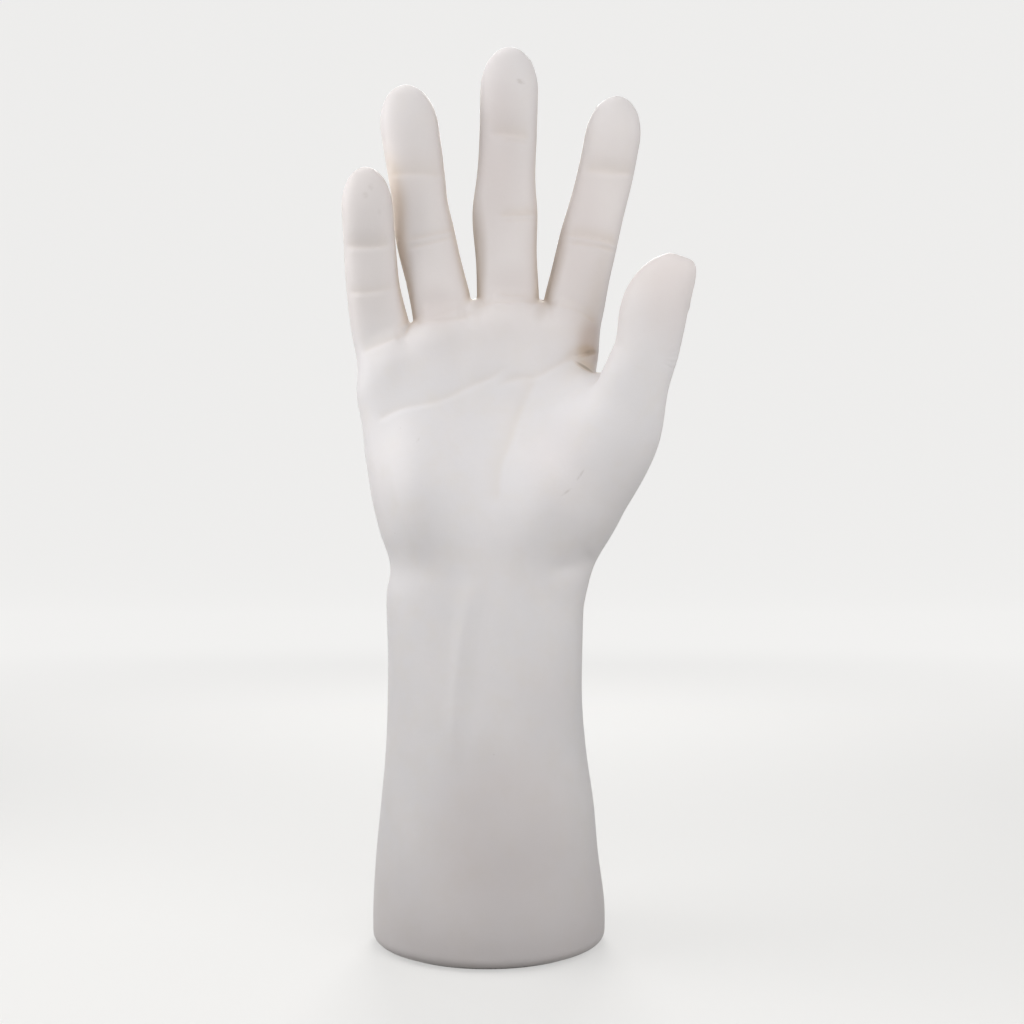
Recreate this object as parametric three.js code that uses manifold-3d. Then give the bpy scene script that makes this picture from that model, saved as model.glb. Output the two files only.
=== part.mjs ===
// A display mannequin hand: a hollow vinyl right hand and forearm that stands on a weighted base.
// Millimetres, +Z up, palm towards -Y, thumb towards +X, origin at the centre of the resting face.
import * as THREE from "three";
import { mergeVertices } from "three/addons/utils/BufferGeometryUtils.js";
import Module from "manifold-3d";

const wasm = await Module();
wasm.setup();

// Main lengths: the forearm from the floor to the wrist, the palm from there to its top, and
// each finger from its web to its tip
const forearmLength = 138.5;
const palmLength = 99.5;
const littleFingerLength = 60.8;
const ringFingerLength = 83.1;
const middleFingerLength = 91.4;
const indexFingerLength = 77.9;

// Moulded skin
const wall = 3;
const baseHalfWidth = 42.6;
const baseHalfDepth = 40;
const bottomEdgeRadius = 3.5;
const lipWidth = 14;

// Foot pad
const padThickness = 1;
const padInset = 5;

// Base plug
const flangeThickness = 9;
const flangeEdge = 1;
const plugClearance = 0.4;
const pressClearance = 0.3;

// Ballast block
const ballastHalfWidth = 29;
const ballastHalfDepth = 24;
const ballastThickness = 14;
const ballastEdgeRadius = 2;

// Bolts that hold the ballast to the plug
const boltRadius = 2.5;
const boltLength = 18;
const boltHeadRadius = 4.6;
const boltHeadHeight = 3;
const boltSpacing = 30;

// Countersunk screws that hold the lip to the plug
const screwCount = 6;
const screwRadius = 1.5;
const screwLength = 9;
const screwHeadRadius = 2.9;
const screwHeadHeight = 1.6;
const screwPointRadius = 0.3;
const screwHoleClearance = 0.3;

// Cross recesses in the heads, and the metal left outside their arms
const driveDepth = 1.1;
const driveWidth = 1.2;
const screwDriveRim = 0.5;
const boltDriveRim = 1.6;

// How far joined solids run into each other
const overlap = 0.2;

// Faces round each kind of section, and the spacing of the sections along it
const trunkSides = 40;
const trunkStep = 9;
const limbSides = 18;
const limbStep = 6;
const hollowTrunkSides = 24;
const hollowLimbSides = 10;
const hollowStep = 16;
const roundSides = 12;

// Rings of the rounded bottom edge and of each domed end
const edgeRings = 3;
const trunkDomeRings = 6;
const limbDomeRings = 5;
const hollowDomeRings = 3;

// How near a dome's last ring comes to its top, as a share of the dome's height
const domeReach = 0.995;

// Points read along a finger's curve to find its joints
const jointSamples = 400;

// Levels as shares of the forearm, and of the palm above the wrist
const armLevel = (share) => share * forearmLength;
const palmLevel = (share) => forearmLength + share * palmLength;

// Forearm and palm, from the base up: half-sizes of each section towards the little finger,
// the thumb, the palm side and the back of the hand. A roundness of 2 is an ellipse, and a
// larger one is squarer.
const foot = {
  little: baseHalfWidth,
  thumb: baseHalfWidth,
  palm: baseHalfDepth,
  back: baseHalfDepth,
  round: 2,
};
const trunkSections = [
  { at: armLevel(0), ...foot },
  { at: armLevel(0.1), ...foot },
  { at: armLevel(0.24), little: 41.5, thumb: 40.2, palm: 37.2, back: 37.2, round: 2 },
  { at: armLevel(0.37), little: 39.8, thumb: 38.6, palm: 34.6, back: 34.6, round: 2 },
  { at: armLevel(0.505), little: 38.1, thumb: 35.9, palm: 31.6, back: 31.8, round: 2.05 },
  { at: armLevel(0.635), little: 37.4, thumb: 34.4, palm: 29.2, back: 29.6, round: 2.1 },
  { at: armLevel(0.773), little: 37.3, thumb: 34.5, palm: 27.0, back: 27.6, round: 2.15 },
  { at: armLevel(0.917), little: 37.8, thumb: 35.2, palm: 24.6, back: 25.6, round: 2.2 },
  { at: palmLevel(0), little: 36.4, thumb: 37.0, palm: 23.2, back: 24.2, round: 2.25 },
  { at: palmLevel(0.126), little: 40.2, thumb: 42.2, palm: 22.0, back: 22.2, round: 2.35 },
  { at: palmLevel(0.266), little: 43.4, thumb: 42.0, palm: 19.8, back: 20.0, round: 2.5 },
  { at: palmLevel(0.437), little: 45.3, thumb: 39.6, palm: 17.2, back: 17.8, round: 2.6 },
  { at: palmLevel(0.618), little: 45.9, thumb: 38.6, palm: 15.4, back: 15.8, round: 2.6 },
  { at: palmLevel(0.739), little: 46.5, thumb: 39.2, palm: 14.6, back: 14.4, round: 2.6 },
  { at: palmLevel(0.839), little: 47.8, thumb: 40.2, palm: 13.8, back: 13.2, round: 2.6 },
];
const palmTop = palmLevel(1);
const palmTopRound = 24;
const domePower = 2.6;

// The row of finger roots arches: highest at archCentre, falling away by archDrop per mm squared.
const archCentre = 12;
const archDrop = 0.0052;
const archFrom = palmLevel(0.266);
const archFull = palmLevel(0.739);

// Soft swellings of the trunk: centre across and up, half-spread across and up, tilt of the
// long side towards the thumb, and height off the section. A negative height is a hollow.
const palmSwells = [
  { name: "thumb ball", across: 25, up: palmLevel(0.296), spread: [17, 26], tilt: 24, height: 9.5 },
  { name: "little finger heel", across: -25, up: palmLevel(0.296), spread: [14, 27], tilt: -4, height: 6.5 },
  { name: "hollow of the palm", across: 0, up: palmLevel(0.578), spread: [16, 24], tilt: -10, height: -2.5 },
  { name: "index pad", across: 29, up: palmLevel(0.86), spread: [9, 9], tilt: 0, height: 2.4 },
  { name: "middle pad", across: 6, up: palmLevel(0.9), spread: [9, 8], tilt: 0, height: 2.4 },
  { name: "ring pad", across: -16, up: palmLevel(0.86), spread: [9, 8], tilt: 0, height: 2.2 },
  { name: "little pad", across: -37, up: palmLevel(0.76), spread: [8, 9], tilt: 0, height: 2.0 },
];
const backSwells = [
  { name: "index knuckle", across: 28, up: palmLevel(0.81), spread: [7, 10], tilt: 6, height: 2.2 },
  { name: "middle knuckle", across: 6.5, up: palmLevel(0.84), spread: [7, 10], tilt: 0, height: 2.6 },
  { name: "ring knuckle", across: -15.5, up: palmLevel(0.81), spread: [6.5, 10], tilt: -6, height: 2.2 },
  { name: "little knuckle", across: -35, up: palmLevel(0.72), spread: [6, 10], tilt: -10, height: 2.0 },
  { name: "wrist bone", across: -25, up: armLevel(0.91), spread: [9, 11], tilt: 0, height: 2.4 },
];

// Fingers: places of the root inside the palm, the knuckle and the web, with heights from the
// top of the palm; bones from the web to the tip, each with its share of the finger's length, its
// lean towards the thumb and its curl towards the palm, in degrees; half-widths at the root,
// knuckle, web, first shaft, middle joint, second shaft, end joint and pad; and a girth that
// scales the thickness profile.
const fingers = [
  {
    name: "little",
    length: littleFingerLength,
    roots: [[-27.0, 2.0, -73.0], [-35.4, 2.0, -34.0], [-39.6, 0.0, -14.5]],
    bones: [[0.283, -9.6, 13.4], [0.261, -3.4, 16.5], [0.456, -1.9, 16.8]],
    halfWidths: [7.0, 10.6, 10.9, 10.4, 9.8, 9.6, 9.4, 9.3],
    girth: 0.86,
  },
  {
    name: "ring",
    length: ringFingerLength,
    roots: [[-10.0, 2.0, -68.0], [-15.4, 2.0, -26.0], [-17.2, 0.5, -6.0]],
    bones: [[0.36, -12.7, 1.0], [0.254, -7.7, 9.6], [0.386, -7.9, 13.5]],
    halfWidths: [7.0, 11.2, 11.2, 10.9, 11.0, 10.2, 10.4, 10.6],
    girth: 0.95,
  },
  {
    name: "middle",
    length: middleFingerLength,
    roots: [[5.5, 2.0, -66.0], [6.6, 2.0, -24.0], [7.0, 0.5, -2.2]],
    bones: [[0.353, -2.0, 2.7], [0.315, 2.4, 9.0], [0.332, 1.4, 16.3]],
    halfWidths: [7.0, 11.6, 11.5, 11.3, 12.0, 10.7, 10.5, 10.5],
    girth: 1.0,
  },
  {
    name: "index",
    length: indexFingerLength,
    roots: [[19.0, 2.0, -70.0], [27.6, 2.0, -27.0], [31.3, 0.5, -4.5]],
    bones: [[0.329, 12.4, 3.3], [0.323, 14.2, 9.1], [0.348, 10.0, 16.1]],
    halfWidths: [7.0, 11.3, 11.3, 10.9, 10.8, 10.3, 10.2, 10.1],
    girth: 0.96,
  },
];
const fingerPalmDepths = [7.0, 12.2, 11.4, 10.8, 10.2, 9.4, 8.6, 9.4];
const fingerBackDepths = [7.0, 13.2, 11.4, 10.0, 10.6, 9.0, 8.6, 7.4];
const fingerTipLength = 15.5;
const fingerPadSetback = 5;
const fingerPalmRoundness = 2.35;

// Thumb: places of the wrist end, saddle, first knuckle, end joint and tip, with heights from
// the wrist, then its sections by distance back from the tip, towards the pad, nail, palm and back.
const thumbPlaces = [
  [22.0, -3.0, -0.5],
  [33.0, -8.0, 19.5],
  [48.2, -20.0, 47.5],
  [56.5, -32.0, 78.9],
  [65.8, -38.0, 107.7],
];
const thumbSections = [
  { back: 118, pad: 8.0, nail: 8.0, palm: 8.0, rear: 8.0 },
  { back: 94, pad: 14.0, nail: 13.0, palm: 13.5, rear: 12.5 },
  { back: 68, pad: 15.0, nail: 13.2, palm: 13.0, rear: 12.0 },
  { back: 47, pad: 14.0, nail: 10.6, palm: 11.0, rear: 10.8 },
  { back: 34, pad: 11.8, nail: 11.0, palm: 10.6, rear: 10.6 },
  { back: 24, pad: 13.4, nail: 10.1, palm: 10.6, rear: 10.6 },
  { back: 16, pad: 14.0, nail: 9.1, palm: 10.6, rear: 10.6 },
  { back: 8, pad: 14.0, nail: 8.3, palm: 10.2, rear: 10.2 },
  { back: 0, pad: 14.0, nail: 7.7, palm: 9.8, rear: 9.8 },
];
const thumbTipLength = 22;
const thumbNailBluntness = 6;

// Web between the thumb and the index finger: an oval sheet, tilted in the plane of the palm.
const web = { centre: [38, -13, palmLevel(0.518)], halfSizes: [13, 10, 19], tilt: 20 };

const vinyl = new THREE.MeshStandardMaterial({ color: 0xe9e4df, roughness: 0.48, metalness: 0 });
const plugPlastic = new THREE.MeshStandardMaterial({ color: 0xb9b8b4, roughness: 0.6, metalness: 0 });
const castIron = new THREE.MeshStandardMaterial({ color: 0x4b4b4d, roughness: 0.7, metalness: 0.6 });
const zincSteel = new THREE.MeshStandardMaterial({ color: 0xa8a9a6, roughness: 0.35, metalness: 1 });
const padFoam = new THREE.MeshStandardMaterial({ color: 0xd8d6d2, roughness: 0.95, metalness: 0 });

// A smooth curve through (at, value) pairs, read at a place between them.
function smoothValue(ats, values, at) {
  const last = ats.length - 1;
  if (at <= ats[0]) return values[0];
  if (at >= ats[last]) return values[last];
  let i = 0;
  while (ats[i + 1] < at) i++;
  const slope = (k) => {
    if (k === 0 || k === last) return 0;
    return (values[k + 1] - values[k - 1]) / (ats[k + 1] - ats[k - 1]);
  };
  const span = ats[i + 1] - ats[i];
  const t = (at - ats[i]) / span;
  const rest = 1 - t;
  const start = (1 + 2 * t) * rest * rest * values[i] + t * rest * rest * span * slope(i);
  const end = t * t * (3 - 2 * t) * values[i + 1] - t * t * rest * span * slope(i + 1);
  return start + end;
}

// A point of an oval whose four half-sizes differ: plusX, minusX, plusY and minusY.
function ovalPoint(turn, sizes, power) {
  const c = Math.cos(turn);
  const s = Math.sin(turn);
  const halfX = c >= 0 ? sizes.plusX : sizes.minusX;
  const halfY = s >= 0 ? sizes.plusY : sizes.minusY;
  return [
    halfX * Math.sign(c) * Math.abs(c) ** (2 / power),
    halfY * Math.sign(s) * Math.abs(s) ** (2 / power),
  ];
}

function ovalSizes(halfX, halfY) {
  return { plusX: halfX, minusX: halfX, plusY: halfY, minusY: halfY };
}

// Joins rings of equally many points into one closed skin; a flat fan closes each end.
function skinOver(rings) {
  const sides = rings[0].length;
  const points = rings.flat();
  const faces = [];
  for (let r = 0; r + 1 < rings.length; r++) {
    for (let i = 0; i < sides; i++) {
      const j = (i + 1) % sides;
      const a = r * sides + i;
      const b = r * sides + j;
      faces.push(a, b, b + sides, a, b + sides, a + sides);
    }
  }
  const middle = (ring) => {
    const sum = new THREE.Vector3();
    ring.forEach((p) => sum.add(p));
    return sum.divideScalar(sides);
  };
  const bottom = points.length;
  const top = bottom + 1;
  const lastRing = (rings.length - 1) * sides;
  points.push(middle(rings[0]), middle(rings[rings.length - 1]));
  for (let i = 0; i < sides; i++) {
    const j = (i + 1) % sides;
    faces.push(bottom, j, i, top, lastRing + i, lastRing + j);
  }
  const geometry = new THREE.BufferGeometry().setFromPoints(points);
  geometry.setIndex(faces);
  return geometry;
}

function solidOf(geometry) {
  const bare = geometry.clone();
  bare.deleteAttribute("normal");
  bare.deleteAttribute("uv");
  const merged = mergeVertices(bare, 1e-4);
  return new wasm.Manifold(
    new wasm.Mesh({
      numProp: 3,
      vertProperties: merged.attributes.position.array,
      triVerts: new Uint32Array(merged.index.array),
    }),
  );
}

function geometryOf(solid) {
  const mesh = solid.getMesh();
  const geometry = new THREE.BufferGeometry();
  geometry.setAttribute("position", new THREE.BufferAttribute(mesh.vertProperties, 3));
  geometry.setIndex(new THREE.BufferAttribute(mesh.triVerts, 1));
  geometry.computeVertexNormals();
  return geometry;
}

function joinAll(solids) {
  return solids.reduce((all, next) => all.add(next));
}

// An upright prism or tapered plug of oval section; levels are [z, inset from the outline].
function ovalBlock(halfX, halfY, levels) {
  const sides = hollowTrunkSides;
  return skinOver(
    levels.map(([z, inset]) =>
      Array.from({ length: sides }, (_, i) => {
        const sizes = ovalSizes(halfX - inset, halfY - inset);
        const [x, y] = ovalPoint((i * 2 * Math.PI) / sides, sizes, 2);
        return new THREE.Vector3(x, y, z);
      }),
    ),
  );
}

// How far the arch of the finger roots lowers a point of the palm.
function archFall(x, level) {
  const share = THREE.MathUtils.smoothstep(level, archFrom, archFull);
  return archDrop * (x - archCentre) ** 2 * share;
}

// How far the swellings lift the surface at a place across and up.
function swellHeight(swells, x, level) {
  return swells.reduce((sum, swell) => {
    const tilt = THREE.MathUtils.degToRad(swell.tilt);
    const across = x - swell.across;
    const up = level - swell.up;
    const side = (across * Math.cos(tilt) - up * Math.sin(tilt)) / swell.spread[0];
    const along = (across * Math.sin(tilt) + up * Math.cos(tilt)) / swell.spread[1];
    return sum + swell.height * Math.exp(-(side * side + along * along));
  }, 0);
}

function trunkRing(level, shrink, inset, sides) {
  const ats = trunkSections.map((s) => s.at);
  const read = (key) => smoothValue(ats, trunkSections.map((s) => s[key]), level);
  const sizes = {
    plusX: shrink * (read("thumb") - inset),
    minusX: shrink * (read("little") - inset),
    plusY: shrink * (read("back") - inset),
    minusY: shrink * (read("palm") - inset),
  };
  return Array.from({ length: sides }, (_, i) => {
    const [x, y] = ovalPoint((i * 2 * Math.PI) / sides, sizes, read("round"));
    const z = level - archFall(x, level);
    const facing = y < 0 ? -y / sizes.minusY : y / sizes.plusY;
    const lift = shrink * facing * swellHeight(y < 0 ? palmSwells : backSwells, x, z);
    return new THREE.Vector3(x, y < 0 ? y - lift : y + lift, z);
  });
}

// Forearm and palm, lying a given inset inside the outer surface.
function trunk(inset, sides) {
  const bottom = padThickness + inset;
  const rings = [];
  const edge = Math.max(bottomEdgeRadius - inset, 0);
  const edgeSteps = edge > 0 ? edgeRings : 0;
  for (let i = 0; i < edgeSteps; i++) {
    const turn = (i / edgeSteps) * (Math.PI / 2);
    const level = bottom + edge * (1 - Math.cos(turn));
    rings.push(trunkRing(level, 1, inset + edge * (1 - Math.sin(turn)), sides));
  }
  const shoulder = palmTop - palmTopRound;
  const step = inset > 0 ? hollowStep : trunkStep;
  const first = bottom + edge;
  const count = Math.round((shoulder - first) / step);
  for (let i = 0; i <= count; i++) {
    const level = first + ((shoulder - first) * i) / count;
    rings.push(trunkRing(level, 1, inset, sides));
  }
  const domeSteps = inset > 0 ? hollowDomeRings : trunkDomeRings;
  for (let i = 1; i <= domeSteps; i++) {
    const rise = Math.min(Math.sin((i / domeSteps) * (Math.PI / 2)), domeReach);
    const level = shoulder + (palmTopRound - inset) * rise;
    const shrink = (1 - rise ** domePower) ** (1 / domePower);
    rings.push(trunkRing(level, shrink, inset, sides));
  }
  return skinOver(rings);
}

// Points of a limb whose heights are measured from a level.
function placesFrom(level, places) {
  return places.map(([x, y, up]) => new THREE.Vector3(x, y, level + up));
}

// A limb that follows a curve: sizeAt gives the four half-sizes at a distance from the tip.
// Its tip is a dome, which the nail side of a blunter limb keeps full for longer. Its palm side
// is squarer where the palm roundness is above 2.
function limb(shape, inset, sides, stepLength) {
  const { places, sizeAt, tipLength, palmRoundness = 2, nailBluntness = 2 } = shape;
  const curve = new THREE.CatmullRomCurve3(places);
  const length = curve.getLength();
  const tipAt = length - inset;
  const shaft = tipAt - (tipLength - inset * 0.5);
  const ringAt = (distance, rise) => {
    const u = Math.min(distance / length, 1);
    const centre = curve.getPointAt(u);
    const along = curve.getTangentAt(u);
    const right = new THREE.Vector3(1, 0, 0).addScaledVector(along, -along.x).normalize();
    const behind = new THREE.Vector3().crossVectors(along, right);
    const sizes = sizeAt(length - distance);
    for (const key of Object.keys(sizes)) sizes[key] = Math.max(sizes[key] - inset, 0.5);
    return Array.from({ length: sides }, (_, i) => {
      const turn = (i * 2 * Math.PI) / sides;
      const nailward = THREE.MathUtils.smoothstep(Math.cos(turn), -0.5, 0.9);
      const blunt = 2 + (nailBluntness - 2) * nailward;
      const shrink = (1 - rise ** blunt) ** (1 / blunt);
      const [x, y] = ovalPoint(turn, sizes, Math.sin(turn) < 0 ? palmRoundness : 2);
      return centre.clone().addScaledVector(right, x * shrink).addScaledVector(behind, y * shrink);
    });
  };
  const rings = [];
  const count = Math.round(shaft / stepLength);
  for (let i = 0; i <= count; i++) rings.push(ringAt((shaft * i) / count, 0));
  const domeSteps = inset > 0 ? hollowDomeRings : limbDomeRings;
  for (let i = 1; i <= domeSteps; i++) {
    const rise = Math.min(Math.sin((i / domeSteps) * (Math.PI / 2)), domeReach);
    rings.push(ringAt(shaft + (tipAt - shaft) * rise, rise));
  }
  return skinOver(rings);
}

// The root, knuckle and web of a finger, then the far end of each bone.
function fingerPlaces(finger) {
  const places = placesFrom(palmTop, finger.roots);
  for (const [share, lean, curl] of finger.bones) {
    const side = THREE.MathUtils.degToRad(lean);
    const front = THREE.MathUtils.degToRad(curl);
    const flat = Math.cos(front);
    const along = new THREE.Vector3(Math.sin(side) * flat, -Math.sin(front), Math.cos(side) * flat);
    places.push(places.at(-1).clone().addScaledVector(along, share * finger.length));
  }
  return places;
}

function fingerLimb(finger, inset, sides, stepLength) {
  const places = fingerPlaces(finger);
  const curve = new THREE.CatmullRomCurve3(places);
  const arcs = curve.getLengths(jointSamples);
  const length = arcs[jointSamples];
  const jointAt = places.map((_, i) => {
    const share = i / (places.length - 1);
    return length - arcs[Math.round(share * jointSamples)];
  });
  const [root, knuckle, crotch, middle, end] = jointAt;
  const shafts = [(crotch + middle) / 2, middle, (middle + end) / 2, end];
  const backs = [root, knuckle, crotch, ...shafts, fingerTipLength + fingerPadSetback];
  const ats = backs.map((b) => -b);
  const sizeAt = (back) => ({
    plusX: smoothValue(ats, finger.halfWidths, -back),
    minusX: smoothValue(ats, finger.halfWidths, -back),
    plusY: finger.girth * smoothValue(ats, fingerBackDepths, -back),
    minusY: finger.girth * smoothValue(ats, fingerPalmDepths, -back),
  });
  const shape = { places, sizeAt, tipLength: fingerTipLength, palmRoundness: fingerPalmRoundness };
  return limb(shape, inset, sides, stepLength);
}

function thumbLimb(inset, sides, stepLength) {
  const ats = thumbSections.map((s) => -s.back);
  const read = (key, back) => smoothValue(ats, thumbSections.map((s) => s[key]), -back);
  const sizeAt = (back) => ({
    plusX: read("nail", back),
    minusX: read("pad", back),
    plusY: read("rear", back),
    minusY: read("palm", back),
  });
  const places = placesFrom(forearmLength, thumbPlaces);
  const nailBluntness = thumbNailBluntness;
  const shape = { places, sizeAt, tipLength: thumbTipLength, nailBluntness };
  return limb(shape, inset, sides, stepLength);
}

function webGeometry(inset, sides) {
  const sheet = new THREE.SphereGeometry(1, sides, sides / 2);
  sheet.scale(...web.halfSizes.map((size) => size - inset));
  sheet.rotateY(THREE.MathUtils.degToRad(web.tilt));
  sheet.translate(...web.centre);
  return sheet;
}

// Outer or inner body of the moulding, before the base opening is cut.
function handBody(inset) {
  const hollow = inset > 0;
  const sides = hollow ? hollowLimbSides : limbSides;
  const step = hollow ? hollowStep : limbStep;
  const solids = [
    solidOf(trunk(inset, hollow ? hollowTrunkSides : trunkSides)),
    solidOf(thumbLimb(inset, sides, step)),
    ...fingers.map((finger) => solidOf(fingerLimb(finger, inset, sides, step))),
    solidOf(webGeometry(inset, sides)),
  ];
  return joinAll(solids);
}

// Levels of the base, from the floor up
const lipBottom = padThickness;
const lipTop = lipBottom + wall;
const flangeTop = lipTop + flangeThickness;
const ballastTop = flangeTop + ballastThickness;
const openingHalfWidth = baseHalfWidth - lipWidth;
const openingHalfDepth = baseHalfDepth - lipWidth;

function cylinder(bottomRadius, topRadius, from, to) {
  const geometry = new THREE.CylinderGeometry(topRadius, bottomRadius, to - from, roundSides);
  return geometry.rotateX(Math.PI / 2).translate(0, 0, (from + to) / 2);
}

// Places of the screws: on an oval midway between the opening and the flange's rim.
function screwPlaces() {
  const flangeHalfWidth = baseHalfWidth - wall - plugClearance;
  const flangeHalfDepth = baseHalfDepth - wall - plugClearance;
  const halfX = (openingHalfWidth + flangeHalfWidth) / 2;
  const halfY = (openingHalfDepth + flangeHalfDepth) / 2;
  return Array.from({ length: screwCount }, (_, i) => {
    const turn = ((i + 0.5) * 2 * Math.PI) / screwCount;
    return ovalPoint(turn, ovalSizes(halfX, halfY), 2);
  });
}

function boltPlaces() {
  return [-boltSpacing / 2, boltSpacing / 2].map((x) => [x, 0]);
}

// A countersunk screw standing point up, its head flush with the lip's underside.
function screwShape(grow) {
  const headTop = lipBottom + screwHeadHeight;
  const from = grow > 0 ? lipBottom - grow : lipBottom;
  const shankSize = screwRadius + grow;
  const head = solidOf(cylinder(screwHeadRadius + grow, shankSize, from, headTop + grow));
  const shankTop = lipBottom + screwLength - screwRadius;
  const shank = solidOf(cylinder(shankSize, shankSize, lipBottom + overlap, shankTop));
  const pointSize = screwPointRadius + grow;
  const point = solidOf(cylinder(shankSize, pointSize, shankTop, shankTop + screwRadius + grow));
  return joinAll([head, shank, point]);
}

// A pan-head bolt standing point up, its head sunk into the plug's underside.
function boltShape(grow) {
  const headFrom = lipBottom;
  const headTop = headFrom + boltHeadHeight;
  const from = grow > 0 ? headFrom - grow : headFrom;
  const headSize = boltHeadRadius + grow;
  const shankSize = boltRadius + grow;
  const head = solidOf(cylinder(headSize, headSize, from, headTop + grow));
  const shank = solidOf(cylinder(shankSize, shankSize, headTop - overlap, headFrom + boltLength + grow));
  return head.add(shank);
}

function driveCross(span) {
  const arm = (length, width) => solidOf(new THREE.BoxGeometry(length, width, driveDepth * 2));
  return arm(span, driveWidth).add(arm(driveWidth, span)).translate([0, 0, lipBottom]);
}

// How wide the countersunk head still is at the bottom of its recess.
function screwHeadRadiusAtDrive() {
  const share = driveDepth / screwHeadHeight;
  return screwHeadRadius - (screwHeadRadius - screwRadius) * share;
}

function holesAt(places, shape) {
  return joinAll(places.map(([x, y]) => shape.translate([x, y, 0])));
}

function handSkin() {
  const opening = solidOf(
    ovalBlock(openingHalfWidth, openingHalfDepth, [[lipBottom - 1, 0], [lipTop + 1, 0]]),
  );
  const screwHoles = holesAt(screwPlaces(), screwShape(screwHoleClearance));
  return handBody(0).subtract(handBody(wall)).subtract(opening).subtract(screwHoles);
}

function basePlug() {
  const boss = solidOf(
    ovalBlock(openingHalfWidth - plugClearance, openingHalfDepth - plugClearance, [
      [lipBottom, 0],
      [lipTop + 1, 0],
    ]),
  );
  const rimInset = wall + plugClearance;
  const rimEdge = Math.max(bottomEdgeRadius - wall, flangeEdge);
  const flange = solidOf(
    ovalBlock(baseHalfWidth - rimInset, baseHalfDepth - rimInset, [
      [lipTop, rimEdge],
      [lipTop + rimEdge, 0],
      [flangeTop - flangeEdge, 0],
      [flangeTop, flangeEdge],
    ]),
  );
  return boss
    .add(flange)
    .subtract(holesAt(screwPlaces(), screwShape(screwHoleClearance)))
    .subtract(holesAt(boltPlaces(), boltShape(pressClearance)));
}

function ballastBlock() {
  const block = solidOf(
    ovalBlock(ballastHalfWidth, ballastHalfDepth, [
      [flangeTop, ballastEdgeRadius / 2],
      [flangeTop + ballastEdgeRadius / 2, 0],
      [ballastTop - ballastEdgeRadius, 0],
      [ballastTop, ballastEdgeRadius],
    ]),
  );
  return block.subtract(holesAt(boltPlaces(), boltShape(pressClearance)));
}

function footPad() {
  return solidOf(
    ovalBlock(baseHalfWidth - padInset, baseHalfDepth - padInset, [
      [0, 0],
      [padThickness, 0],
    ]),
  );
}

const hand = new THREE.Group();

function place(name, solid, material, at = [0, 0]) {
  const mesh = new THREE.Mesh(geometryOf(solid), material);
  mesh.name = name;
  mesh.position.set(at[0], at[1], 0);
  hand.add(mesh);
}

place("hand_skin", handSkin(), vinyl);
place("base_plug", basePlug(), plugPlastic);
place("ballast_block", ballastBlock(), castIron);
place("foot_pad", footPad(), padFoam);
const boltDriveSpan = 2 * (boltHeadRadius - boltDriveRim);
const bolt = boltShape(0).subtract(driveCross(boltDriveSpan));
boltPlaces().forEach((at, i) => place(`ballast_bolt_${i + 1}`, bolt, zincSteel, at));
const screwDriveSpan = 2 * (screwHeadRadiusAtDrive() - screwDriveRim);
const screw = screwShape(0).subtract(driveCross(screwDriveSpan));
screwPlaces().forEach((at, i) => place(`lip_screw_${i + 1}`, screw, zincSteel, at));

export default hand;
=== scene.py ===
"""Looks of a display mannequin hand: a hollow vinyl right hand and forearm on a weighted base.

The skin is a field of signed distances, in millimetres: a trunk for the forearm and palm, and
a limb for each finger and the thumb, blended where they meet. Its zero level becomes the mesh,
and its creases, nails and knuckles are pressed into that mesh afterwards. Meshes are made in
metres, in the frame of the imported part: +Z up, palm towards -Y, thumb towards +X.
"""

import logging
import math
import time
from dataclasses import dataclass
from enum import Enum

import bmesh
import bpy
import numpy as np
from mathutils import Matrix, Vector

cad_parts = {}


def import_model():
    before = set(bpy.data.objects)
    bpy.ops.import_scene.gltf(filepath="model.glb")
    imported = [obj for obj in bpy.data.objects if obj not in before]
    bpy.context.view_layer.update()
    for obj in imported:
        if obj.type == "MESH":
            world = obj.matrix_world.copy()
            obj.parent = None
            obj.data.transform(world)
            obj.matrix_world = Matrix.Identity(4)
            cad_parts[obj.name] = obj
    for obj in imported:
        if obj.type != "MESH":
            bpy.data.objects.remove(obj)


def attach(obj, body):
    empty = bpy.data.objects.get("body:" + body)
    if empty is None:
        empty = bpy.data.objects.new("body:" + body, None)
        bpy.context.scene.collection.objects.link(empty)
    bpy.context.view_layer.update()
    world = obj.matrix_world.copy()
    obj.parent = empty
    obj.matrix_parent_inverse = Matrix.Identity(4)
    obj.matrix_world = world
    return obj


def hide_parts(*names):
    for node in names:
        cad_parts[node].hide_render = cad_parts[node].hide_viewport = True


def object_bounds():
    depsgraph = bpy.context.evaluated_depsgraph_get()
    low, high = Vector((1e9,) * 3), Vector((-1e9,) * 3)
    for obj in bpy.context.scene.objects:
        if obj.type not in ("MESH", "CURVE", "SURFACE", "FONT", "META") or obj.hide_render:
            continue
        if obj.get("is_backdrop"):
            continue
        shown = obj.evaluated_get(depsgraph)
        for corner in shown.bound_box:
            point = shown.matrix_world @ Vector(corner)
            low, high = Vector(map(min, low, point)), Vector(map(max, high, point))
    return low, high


LOG = logging.getLogger("display_hand")
MM = 0.001
TINY = 1e-9
HARD_EDGE = 35.0
BASE_HALF_WIDTH = 42.6
BASE_HALF_DEPTH = 40.0
PAD_THICKNESS = 1.0

Array = np.ndarray
Piece = bpy.types.Object
Material = bpy.types.Material
Axes = tuple[Array, Array, Array]
Point = tuple[float, float, float]
Span = tuple[float, float]
Places = list[Span]
Profile = list[Span]


# Curves and profiles


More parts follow.
